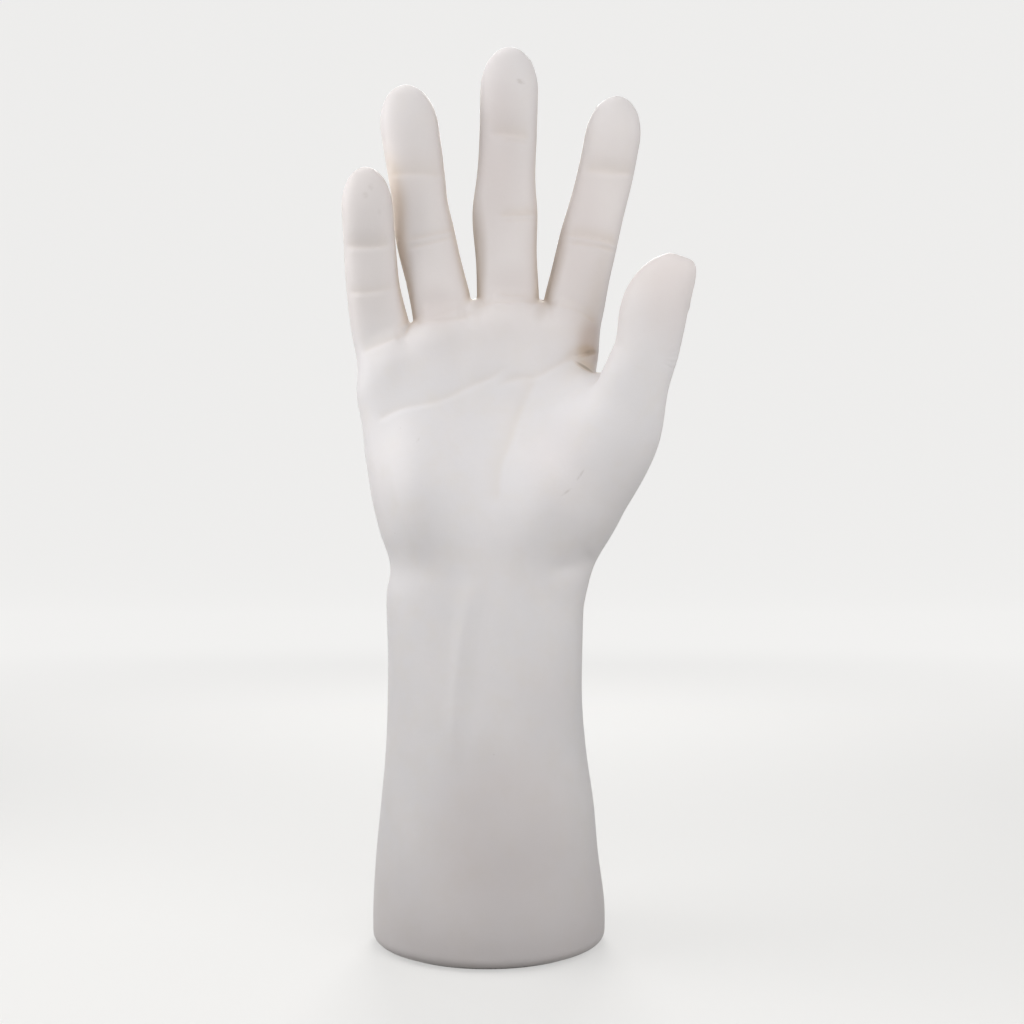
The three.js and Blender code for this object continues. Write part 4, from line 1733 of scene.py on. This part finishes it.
@dataclass
class WeightedBase:
    """The plug that closes the skin, its ballast, its foot pad and the places of its pins."""

    base: BaseSizes
    screw: PinSizes
    bolt: PinSizes
    screw_count: int = 6
    bolt_spacing: float = 30.0
    sides: int = 96

    def screw_places(self) -> Places:
        """Sets out the lip screws, midway between the opening and the flange's rim.

        Returns:
            Their places across and front to back.
        """
        base = self.base
        rim = base.wall + base.plug_clearance
        half_x = base.half_width - (base.lip_width + rim) / 2
        half_y = base.half_depth - (base.lip_width + rim) / 2
        turns = [(i + 0.5) * 2 * math.pi / self.screw_count for i in range(self.screw_count)]
        return [(half_x * math.cos(t), half_y * math.sin(t)) for t in turns]

    def bolt_places(self) -> Places:
        """Places of the ballast bolts."""
        return [(-self.bolt_spacing / 2, 0.0), (self.bolt_spacing / 2, 0.0)]

    def plug(self) -> Piece:
        """Makes the stepped plug, with its holes.

        Returns:
            The plug.
        """
        base = self.base
        rim = base.wall + base.plug_clearance
        boss = base.lip_width + base.plug_clearance
        levels = [(base.lip_bottom, boss), (base.lip_top, boss)]
        levels += rounded(base.lip_top, rim, base.flange_edge, upper=False)
        levels += rounded(base.flange_top, rim, base.flange_edge, upper=True)
        plug = oval_lathe("stepped_plug", base.half_width, base.half_depth, levels, self.sides)
        cut_away(plug, [pin_holes(self.screw, self.screw_places(), base)])
        cut_away(plug, [pin_holes(self.bolt, self.bolt_places(), base)])
        set_smooth(plug, HARD_EDGE)
        return plug

    def ballast(self) -> Piece:
        """Makes the cast block, with softened edges and the bolts' holes.

        Returns:
            The block.
        """
        base = self.base
        levels = rounded(base.flange_top, 0, base.ballast_edge / 2, upper=False)
        levels += rounded(base.ballast_top, 0, base.ballast_edge, upper=True)
        half_x, half_y = base.ballast_half_width, base.ballast_half_depth
        block = oval_lathe("cast_ballast", half_x, half_y, levels, self.sides)
        cut_away(block, [pin_holes(self.bolt, self.bolt_places(), base)])
        set_smooth(block, HARD_EDGE)
        return block

    def pad(self) -> Piece:
        """Makes the foam pad under the base, with a cut edge a little rounded.

        Returns:
            The pad.
        """
        base = self.base
        lower_edge, upper_edge = base.pad_edges
        levels = rounded(0.0, base.pad_inset, lower_edge, upper=False)
        levels += rounded(base.pad_thickness, base.pad_inset, upper_edge, upper=True)
        pad = oval_lathe("foam_foot", base.half_width, base.half_depth, levels, self.sides)
        set_smooth(pad, HARD_EDGE)
        return pad


class PinNodes(Sheet):
    """Geometry Nodes that set a pin, with its cross recess, at each of a row of places."""

    sizes = ("Cross Span", "Cross Width", "Cross Depth", "Head Level")

    def __init__(self, name: str) -> None:
        """Makes the tree with its named sizes.

        Args:
            name: The tree's name.
        """
        super().__init__(bpy.data.node_groups.new(name, "GeometryNodeTree"))
        face = self.tree.interface
        face.new_socket("Geometry", in_out="INPUT", socket_type="NodeSocketGeometry")
        kinds = {label: "NodeSocketFloat" for label in self.sizes}
        kinds |= {"Pin": "NodeSocketObject", "Finish": "NodeSocketMaterial"}
        self.inputs = {
            label: face.new_socket(label, in_out="INPUT", socket_type=kind).identifier
            for label, kind in kinds.items()
        }
        face.new_socket("Geometry", in_out="OUTPUT", socket_type="NodeSocketGeometry")
        self.build()

    def build(self) -> None:
        """Cuts the cross from the pin, copies it to every place and gives it its finish."""
        given = self.add("NodeGroupInput").outputs
        pin = self.node("GeometryNodeObjectInfo", inputs={"Object": given["Pin"]}, output="Geometry")
        height = Output(self, given["Cross Depth"]) * 2.0
        level = self.node("ShaderNodeCombineXYZ", inputs={2: given["Head Level"]})
        cross = self.add("GeometryNodeJoinGeometry")
        for across, along in (("Cross Span", "Cross Width"), ("Cross Width", "Cross Span")):
            size = self.node("ShaderNodeCombineXYZ", inputs={0: given[across], 1: given[along], 2: height})
            arm = self.node("GeometryNodeMeshCube", inputs={"Size": size}, output="Mesh")
            placed = self.node("GeometryNodeTransform", inputs={"Geometry": arm, "Translation": level})
            self.feed(cross.inputs[0], placed)
        cut = self.node(
            "GeometryNodeMeshBoolean",
            {"operation": "DIFFERENCE", "solver": "EXACT"},
            {"Mesh 1": pin, "Mesh 2": cross.outputs[0], "Self Intersection": True},
            "Mesh",
        )
        spread = {"Points": given["Geometry"], "Instance": cut}
        copies = self.node("GeometryNodeInstanceOnPoints", inputs=spread)
        loose = self.node("GeometryNodeRealizeInstances", inputs={"Geometry": copies})
        plated = {"Geometry": loose, "Material": given["Finish"]}
        self.add("NodeGroupOutput", inputs={0: self.node("GeometryNodeSetMaterial", inputs=plated)})


@dataclass
class PinRow:
    """A row of equal screws or bolts with cross recesses."""

    name: str
    pin: PinSizes
    places: Places
    bottom: float

    def build(self, finish: Material) -> Piece:
        """Sets a pin at each place.

        Args:
            finish: The pins' material.

        Returns:
            The row as one mesh.
        """
        row = mesh_object(self.name, [(x, y, 0.0) for x, y in self.places], [])
        single = turned_pin("pin", self.pin.profile(self.bottom))
        nodes = PinNodes(f"{self.name}_nodes")
        spread = row.modifiers.new("pins", "NODES")
        spread.node_group = nodes.tree
        lengths = (self.pin.cross_span, self.pin.cross_width, self.pin.cross_depth, self.bottom)
        values = {label: length * MM for label, length in zip(nodes.sizes, lengths)}
        values |= {"Pin": single, "Finish": finish}
        for label, value in values.items():
            spread[nodes.inputs[label]] = value
        settle_modifier(row, spread)
        discard(single)
        set_smooth(row, HARD_EDGE)
        return row


# Finishes


@dataclass(frozen=True)
class Mark:
    """A soft oval mark on a finish, in millimetres: its place, half-sizes, strength and lean."""

    at: Point
    half_sizes: Point
    strength: float
    degrees: float = 0.0


def colour(red: int, green: int, blue: int) -> tuple[float, float, float, float]:
    """Turns a display colour into the linear one that sockets take.

    Args:
        red: From 0 to 255.
        green: The same.
        blue: The same.

    Returns:
        The linear colour from 0 to 1, opaque.
    """
    parts = [c / 255 for c in (red, green, blue)]
    linear = [c / 12.92 if c <= 0.04045 else ((c + 0.055) / 1.055) ** 2.4 for c in parts]
    return (linear[0], linear[1], linear[2], 1.0)


class Finish(Sheet):
    """A material under construction."""

    spot_edge = (0.3, 1.0)

    def __init__(self, name: str) -> None:
        """Makes an empty material with a Principled shader.

        Args:
            name: The material's name.
        """
        self.material = bpy.data.materials.new(name)
        self.material.use_nodes = True
        super().__init__(self.material.node_tree)
        self.place = self.node("ShaderNodeTexCoord", output="Object")
        self.body = self.add("ShaderNodeBsdfPrincipled")
        self.add("ShaderNodeOutputMaterial", inputs={0: self.body.outputs[0]})

    def noise(self, size: float, detail: float = 2.0, roughness: float = 0.5) -> Output:
        """Noise from 0 to 1 whose features are about size millimetres across."""
        inputs = {"Vector": self.place, "Scale": 1 / (size * MM), "Detail": detail, "Roughness": roughness}
        return self.node("ShaderNodeTexNoise", inputs=inputs)

    def cells(self, size: float) -> Output:
        """Distance to the middle of the nearest of scattered cells of about size millimetres."""
        inputs = {"Vector": self.place, "Scale": 1 / (size * MM)}
        return self.node("ShaderNodeTexVoronoi", {"feature": "F1"}, inputs, "Distance")

    def attribute(self, name: str) -> Output:
        """A value stored on the mesh."""
        return self.node("ShaderNodeAttribute", {"attribute_name": name}, output="Fac")

    def mix(self, factor: Output | float, first: Output | tuple, second: Output | tuple) -> Output:
        """Blends two colours.

        Args:
            factor: How much of the second shows.
            first: An output, a display colour, or a linear colour with its alpha.
            second: The same.

        Returns:
            The blend.
        """
        first, second = (colour(*c) if isinstance(c, tuple) and len(c) == 3 else c for c in (first, second))
        inputs = {"Factor_Float": factor, "A_Color": first, "B_Color": second}
        return self.node("ShaderNodeMix", {"data_type": "RGBA"}, inputs, "Result_Color")

    def vector(self, operation: str, first: Output, lengths: Point) -> Output:
        """Works on a vector with three lengths in millimetres."""
        inputs = {0: first, 1: [length * MM for length in lengths]}
        return self.node("ShaderNodeVectorMath", {"operation": operation}, inputs)

    def distance(self, vector: Output) -> Output:
        """Length of a vector."""
        return self.node("ShaderNodeVectorMath", {"operation": "LENGTH"}, {0: vector}, "Value")

    def spot(self, mark: Mark) -> Output:
        """Draws a mark, which leans towards the thumb by its degrees.

        Args:
            mark: The mark.

        Returns:
            How strong it is, 1 at its middle.
        """
        moved = self.vector("SUBTRACT", self.place, mark.at)
        inputs = {"Vector": moved, "Angle": math.radians(-mark.degrees)}
        turned = self.node("ShaderNodeVectorRotate", {"rotation_type": "Y_AXIS"}, inputs)
        return 1 - self.distance(self.vector("DIVIDE", turned, mark.half_sizes)).step(*self.spot_edge)

    def bump(self, height: Output, depth: float, strength: float, under: Output | None = None) -> Output:
        """Tilts the surface by a height.

        Args:
            height: The height, from 0 to 1.
            depth: Millimetres that a height of 1 stands for.
            strength: How much of the tilt shows.
            under: A finer bump that this one lies on.

        Returns:
            The normal.
        """
        inputs = {"Height": height, "Distance": depth * MM, "Strength": strength}
        if under is not None:
            inputs["Normal"] = under
        return self.node("ShaderNodeBump", inputs=inputs)

    def dress(self, **values: object) -> Material:
        """Feeds the shader.

        Args:
            **values: What feeds each socket, whose name is given with _ for a space.

        Returns:
            The finished material.
        """
        for key, value in values.items():
            self.feed(self.body.inputs[key.replace("_", " ")], value)
        return self.material


@dataclass(frozen=True)
class VinylFinish:
    """Matte off-white vinyl with faint mottling, scuffs and a few specks, and painted shade in folds,
    flanks and patches.
    """

    pale: tuple = (238, 234, 234)
    cool: tuple = (234, 231, 232)
    warm: tuple = (233, 227, 221)
    fingers: tuple = (226, 218, 215)
    # Painted warm shade in creases, in hollows between the digits and in the pocket by the thumb.
    folds: tuple = (210, 190, 161)
    # Real grime for the scuffs and specks, and also painted shadow in the deepest folds by the thumb.
    grime_and_shade: tuple = (150, 136, 120)
    # Painted shade for one flank of the middle and index fingers.
    shade: tuple = (168, 150, 130)
    # Painted shade in the pocket between the index finger and the thumb.
    crotch: tuple = (196, 177, 166)
    # Painted shade for the darker patches.
    painted_patch_shade: tuple = (208, 196, 193)
    patch_tint: float = 0.28
    finger_tint: float = 0.7
    finger_fade: float = 0.4
    finger_roots: Span = (200, 240)
    finger_ends: Span = (275, 320)
    # Shares of painted fold shade: in hollows, in creases, in the crease of the thumb's pocket, and the
    # most that shows.
    hollow_shade: float = 0.36
    crease_shade: float = 0.14
    crotch_crease_shade: float = 0.5
    most_fold_shade: float = 0.9
    # How much of the pocket's painted shade shows.
    crotch_shade_share: float = 0.6
    speck_tint: float = 0.2
    crotch_place: Mark = Mark((38, -6, 220), (8, 36, 12), 1.0)
    # Patches of painted shade on the fingers, the thumb and the palm, and low on the arm and the base.
    painted_shade_patches: tuple[Mark, ...] = (
        Mark((3, -20, 287), (13, 40, 44), 0.34),
        Mark((6, -40, 50), (40, 44, 40), 0.32),
        Mark((8, -10, 6), (90, 90, 50), 0.32),
        Mark((24, -40, 178), (20, 40, 26), 0.18),
        Mark((22, -40, 92), (22, 40, 30), 0.14),
        Mark((30, -20, 262), (17, 40, 46), 0.28),
        Mark((62, -40, 234), (13, 40, 28), 0.28),
        Mark((-19, -20, 232), (12, 30, 12), 0.4),
        Mark((8, -20, 240), (12, 30, 12), 0.25),
    )
    # Painted shade down the little-finger side of the middle and index fingers.
    flanks: tuple[Mark, ...] = (
        Mark((-4, -6, 250), (28, 30, 4.5), 0.34, -90),
        Mark((23.2, -6, 247), (26, 30, 5), 0.4, -75.5),
    )
    # Painted shadow in the deepest folds beside the thumb.
    deep_fold_shade: tuple[Mark, ...] = (
        Mark((35, -12, 210.5), (4.8, 16, 0.7), 0.6, 30),
        Mark((37.4, -12, 216.2), (3.6, 16, 1.5), 0.42, -12),
    )
    scuffs: tuple[Mark, ...] = (
        Mark((32.5, -32, 171), (3.2, 14, 0.6), 0.22, -56),
        Mark((27.6, -32, 165), (3.0, 14, 0.6), 0.2, -36),
        Mark((-25, -24, 183.5), (0.6, 14, 1.6), 0.15, 30),
        Mark((11.5, -22, 311.6), (2.4, 12, 1.2), 0.25, 15),
        Mark((-41.7, -22, 273.5), (1.4, 12, 2.0), 0.1),
        Mark((-43.6, -22, 270.6), (1.5, 12, 1.6), 0.11),
        Mark((-38.8, -22, 265), (1.2, 12, 1.6), 0.07),
    )

    def tint_and_shade(self, finish: Finish, patch: Output) -> Output:
        """Mixes the vinyl's mottled colour, pinker at the fingers, with painted warm shade in the folds.

        Args:
            finish: The material.
            patch: Where the mottling is, from 0 to 1.

        Returns:
            The colour without its marks.
        """
        cloud = finish.noise(size=34, detail=3, roughness=0.55).step(0.32, 0.68)
        base = finish.mix(cloud, self.pale, self.cool)
        base = finish.mix(patch * self.patch_tint, base, self.warm)
        height = finish.node("ShaderNodeSeparateXYZ", inputs={0: finish.place}, output="Z")
        spans = (self.finger_roots, self.finger_ends)
        roots, ends = (height.step(low * MM, high * MM) for low, high in spans)
        base = finish.mix(roots * (self.finger_tint - ends * self.finger_fade), base, self.fingers)
        # Painted warm shade: strongest where the flesh hems the skin in, in creases, and in the pocket by
        # the thumb.
        enclosed = finish.attribute("enclosed")
        pressed = finish.attribute("pressed").step(0.02, 0.7)
        crotch = finish.spot(self.crotch_place)
        fold_shading = enclosed.step(0.15, 0.95) * self.hollow_shade
        fold_shading = fold_shading + pressed * (self.crease_shade + crotch * self.crotch_crease_shade)
        base = finish.mix(fold_shading.least(self.most_fold_shade), base, self.folds)
        # Painted shade deepening the pocket between the index finger and the thumb.
        return finish.mix(enclosed.step(0.05, 0.55) * crotch * self.crotch_shade_share, base, self.crotch)

    def wear_and_shade(self, finish: Finish, base: Output) -> Output:
        """Adds painted shade on the finger flanks, in patches and in the deepest folds, then the scuffs and
        the specks.

        Args:
            finish: The material.
            base: Its colour so far.

        Returns:
            The colour with its marks.
        """
        # Painted shade first: the finger flanks, the darker patches and the deepest folds.
        kinds = ((self.flanks, self.shade), (self.painted_shade_patches, self.painted_patch_shade), (self.deep_fold_shade, self.grime_and_shade))
        for marks, tint_and_shade in kinds:
            for mark in marks:
                base = finish.mix(finish.spot(mark) * mark.strength, base, tint_and_shade)
        for mark in self.scuffs:
            rubbed = finish.spot(mark) * finish.noise(size=1.1, detail=3, roughness=0.7).step(0.25, 0.6)
            base = finish.mix(rubbed * mark.strength, base, self.grime_and_shade)
        specks = 1 - finish.cells(16).step(0.008, 0.02)
        return finish.mix(specks * self.speck_tint, base, self.grime_and_shade)

    def make(self) -> Material:
        """Builds the material.

        Returns:
            The material.
        """
        finish = Finish("vinyl_skin")
        patch = finish.noise(size=9, detail=4, roughness=0.6).step(0.4, 0.75)
        base = self.wear_and_shade(finish, self.tint_and_shade(finish, patch))
        grain = finish.bump(finish.noise(0.55), depth=0.035, strength=0.6)
        swell = finish.bump(finish.noise(7), depth=0.16, strength=0.6, under=grain)
        rough = 0.5 + finish.noise(size=12, detail=3, roughness=0.6) * 0.1 - patch * 0.03
        return finish.dress(Base_Color=base, Roughness=rough, Normal=swell, Specular_IOR_Level=0.42)


@dataclass(frozen=True)
class FoamFinish:
    """Pale closed-cell foam, speckled with its own cells."""

    light: tuple = (222, 219, 213)
    dark: tuple = (192, 188, 181)

    def make(self) -> Material:
        """Builds the material.

        Returns:
            The material.
        """
        finish = Finish("foot_foam")
        cells = finish.cells(0.7)
        soiled = finish.noise(size=14, detail=3, roughness=0.6).step(0.4, 0.8)
        base = finish.mix(cells.step(0.1, 0.7), self.dark, self.light)
        base = finish.mix(soiled * 0.3, base, self.dark)
        relief = finish.bump(cells, depth=0.15, strength=0.7)
        return finish.dress(Base_Color=base, Roughness=0.92, Normal=relief)


@dataclass(frozen=True)
class PlugFinish:
    """Grey moulded plastic with a fine sparked texture."""

    light: tuple = (190, 188, 184)
    dark: tuple = (172, 170, 166)

    def make(self) -> Material:
        """Builds the material.

        Returns:
            The material.
        """
        finish = Finish("plug_plastic")
        cloud = finish.noise(size=20, detail=3, roughness=0.6)
        base = finish.mix(cloud.step(0.3, 0.7), self.light, self.dark)
        grain = finish.noise(size=0.5, roughness=0.6)
        relief = finish.bump(grain, depth=0.04, strength=0.7)
        return finish.dress(Base_Color=base, Roughness=0.55 + cloud * 0.12, Normal=relief)


@dataclass(frozen=True)
class IronFinish:
    """Dark cast iron with a sandy skin and a few rusty blooms."""

    dark: tuple = (62, 62, 64)
    light: tuple = (88, 87, 86)
    rust: tuple = (108, 74, 52)

    def make(self) -> Material:
        """Builds the material.

        Returns:
            The material.
        """
        finish = Finish("cast_iron")
        sand = finish.noise(size=0.9, detail=4, roughness=0.65)
        bloom = finish.noise(size=11, detail=4, roughness=0.6).step(0.58, 0.74)
        base = finish.mix(sand.step(0.3, 0.7), self.dark, self.light)
        base = finish.mix(bloom * 0.6, base, self.rust)
        rough = 0.62 + bloom * 0.2
        metal = 0.75 - bloom * 0.5
        relief = finish.bump(sand, depth=0.18, strength=0.8)
        return finish.dress(Base_Color=base, Roughness=rough, Metallic=metal, Normal=relief)


@dataclass(frozen=True)
class ZincFinish:
    """Bright zinc plating, a little clouded."""

    bright: tuple = (186, 187, 184)
    clouded: tuple = (150, 152, 152)

    def make(self) -> Material:
        """Builds the material.

        Returns:
            The material.
        """
        finish = Finish("zinc_plating")
        cloud = finish.noise(size=2.2, detail=3, roughness=0.6)
        base = finish.mix(cloud.step(0.3, 0.7), self.bright, self.clouded)
        relief = finish.bump(cloud, depth=0.01, strength=0.5)
        return finish.dress(Base_Color=base, Roughness=0.3 + cloud * 0.15, Metallic=1.0, Normal=relief)


# The studio


@dataclass(frozen=True)
class Lamp:
    """A square soft light that shines at a place on the hand."""

    name: str
    place: Point
    power: float
    target: Point = (0, 0, 200)
    size: float = 300.0


@dataclass
class Studio:
    """Pale floor and backdrop, soft light and the camera."""

    camera_place: Point = (8.5, -526.2, 158.0)
    lens: float = 50.0
    sensor: float = 36.0
    sight: Span = (10.0, 50000.0)
    world_level: float = 0.03
    world_seen: float = 0.85
    white: tuple = (1, 0.995, 0.985, 1)
    black: tuple = (0, 0, 0, 1)
    floor: tuple = (150, 149, 147)
    near_glow: float = 0.515
    far_glow: float = 0.83
    glow_reach: Span = (100.0, 1250.0)
    half_breadth: float = 6000.0
    front_edge: float = -3000.0
    wall: float = 2600.0
    bend: float = 900.0
    wall_top: float = 5000.0
    bend_steps: int = 15
    lamps: tuple[Lamp, ...] = (
        Lamp("softbox_right", (172, -246, 240), 0.5),
        Lamp("softbox_left", (-316, -39, 310), 0.82),
        Lamp("softbox_front", (-103, -282, 330), 0.24),
        Lamp("softbox_side", (330, 40, 290), 0.21),
        Lamp("softbox_low", (-330, -60, 160), 0.06, (0, 0, 150)),
        Lamp("softbox_above", (60, -450, 600), 0.36),
        Lamp("softbox_top", (-40, 70, 640), 0.7),
        Lamp("softbox_back", (0, 650, 560), 3.2),
    )

    def camera(self) -> None:
        """Makes the camera at the photograph's place."""
        lens = bpy.data.cameras.new("camera")
        lens.lens = self.lens
        lens.sensor_width = self.sensor
        lens.clip_start, lens.clip_end = (distance * MM for distance in self.sight)
        camera = bpy.data.objects.new("camera", lens)
        camera.location = Vector(self.camera_place) * MM
        camera.rotation_euler = (math.pi / 2, 0, 0)
        bpy.context.scene.collection.objects.link(camera)
        bpy.context.scene.camera = camera

    def lights(self) -> None:
        """Makes the lamps and the pale world."""
        for lamp in self.lamps:
            light = bpy.data.lights.new(lamp.name, "AREA")
            light.size = lamp.size * MM
            light.energy = lamp.power
            made = bpy.data.objects.new(lamp.name, light)
            made.visible_camera = False
            made.location = Vector(lamp.place) * MM
            aim = (Vector(lamp.target) - Vector(lamp.place)).to_track_quat("-Z", "Y")
            made.rotation_euler = aim.to_euler()
            bpy.context.scene.collection.objects.link(made)
        self.surroundings()

    def surroundings(self) -> None:
        """Makes the world, which lights the hand softly and looks pale."""
        world = bpy.data.worlds.new("studio")
        world.use_nodes = True
        sheet = Sheet(world.node_tree)
        levels = {"Value": sheet.seen(), "To Min": self.world_level, "To Max": self.world_seen}
        level = sheet.node("ShaderNodeMapRange", inputs=levels)
        light = sheet.node("ShaderNodeBackground", inputs={"Color": self.white, "Strength": level})
        sheet.add("ShaderNodeOutputWorld", inputs={0: light})
        bpy.context.scene.world = world

    def backdrop(self) -> None:
        """Makes the floor, which curves up into the backdrop behind the hand."""
        bend = self.bend
        turns = [i * math.pi / 2 / self.bend_steps for i in range(self.bend_steps + 1)]
        curve = [(self.wall - bend + bend * math.sin(t), bend * (1 - math.cos(t))) for t in turns]
        rows = [(self.front_edge, 0.0), *curve, (self.wall, self.wall_top)]
        points = [(x, y, z) for y, z in rows for x in (-self.half_breadth, self.half_breadth)]
        faces = [[2 * i, 2 * i + 1, 2 * i + 3, 2 * i + 2] for i in range(len(rows) - 1)]
        sheet = mesh_object("backdrop", points, faces)
        set_smooth(sheet)
        sheet.data.materials.append(self.paper())
        sheet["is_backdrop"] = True

    def paper(self) -> Material:
        """Makes pale matte paper that looks evenly lit and still takes the hand's shadow.

        Returns:
            The material.
        """
        finish = Finish("studio_paper")
        near, far = self.glow_reach
        away = finish.distance(finish.place).step(near * MM, far * MM)
        glow = finish.seen() * (self.near_glow + (self.far_glow - self.near_glow) * away)
        shown = finish.mix(glow, self.black, self.white)
        base = colour(*self.floor)
        return finish.dress(Base_Color=base, Roughness=0.9, Emission_Color=shown, Emission_Strength=1.0)


class DisplayHand:
    """The whole hand: its skin, its base and their finishes."""

    screw = PinSizes(
        DriveKind.LIP_SCREW,
        radius=1.5,
        length=9.0,
        head_radius=2.9,
        head_height=1.6,
        point_radius=0.3,
        cross_span=2.9,
    )
    bolt = PinSizes(
        DriveKind.BALLAST_BOLT,
        radius=2.5,
        length=18.0,
        head_radius=4.6,
        head_height=3.0,
        point_radius=2.0,
        cross_span=6.0,
    )

    def __init__(self) -> None:
        """Makes the finishes and the sub-assemblies."""
        sizes = BaseSizes()
        self.skin = HandSkin(sizes, self.screw)
        self.lower = WeightedBase(sizes, self.screw, self.bolt)
        self.vinyl = VinylFinish().make()
        self.foam = FoamFinish().make()
        self.plastic = PlugFinish().make()
        self.iron = IronFinish().make()
        self.zinc = ZincFinish().make()

    def settle(self, piece: Piece, nodes: list[str], finish: Material | None = None) -> None:
        """Gives a piece its finish, hangs it on the root body and hides the nodes that it replaces.

        Args:
            piece: The piece.
            nodes: The nodes that it replaces.
            finish: Its material, unless its mesh has one.
        """
        if finish is not None:
            piece.data.materials.clear()
            piece.data.materials.append(finish)
        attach(piece, "root")
        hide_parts(*nodes)
        count = sum(len(face.vertices) - 2 for face in piece.data.polygons)
        LOG.info("%s: %d triangles", piece.name, count)

    def build(self) -> None:
        """Builds every piece."""
        lower = self.lower
        level = lower.base.lip_bottom
        self.settle(self.skin.build(lower.screw_places()), ["hand_skin"], self.vinyl)
        self.settle(lower.plug(), ["base_plug"], self.plastic)
        self.settle(lower.ballast(), ["ballast_block"], self.iron)
        self.settle(lower.pad(), ["foot_pad"], self.foam)
        screws = PinRow("lip_screws", self.screw, lower.screw_places(), level).build(self.zinc)
        self.settle(screws, [f"lip_screw_{i + 1}" for i in range(lower.screw_count)])
        bolts_at = lower.bolt_places()
        bolts = PinRow("ballast_bolts", self.bolt, bolts_at, level).build(self.zinc)
        self.settle(bolts, [f"ballast_bolt_{i + 1}" for i in range(len(bolts_at))])


def corners(box: tuple[Vector, Vector]) -> list[list[float]]:
    """A box's two corners as plain lists."""
    return [[float(c) for c in corner] for corner in box]


def main() -> None:
    """Loads the frame, builds the hand and its studio, and measures both bounds without keeping them."""
    logging.basicConfig(level=logging.INFO, format="%(name)s: %(message)s")
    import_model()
    cad_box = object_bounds()
    bpy.context.scene.view_settings.view_transform = "Standard"
    studio = Studio()
    studio.camera()
    DisplayHand().build()
    studio.backdrop()
    studio.lights()
    {"cad": corners(cad_box), "visual": corners(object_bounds())}


if __name__ == "__main__":
    main()
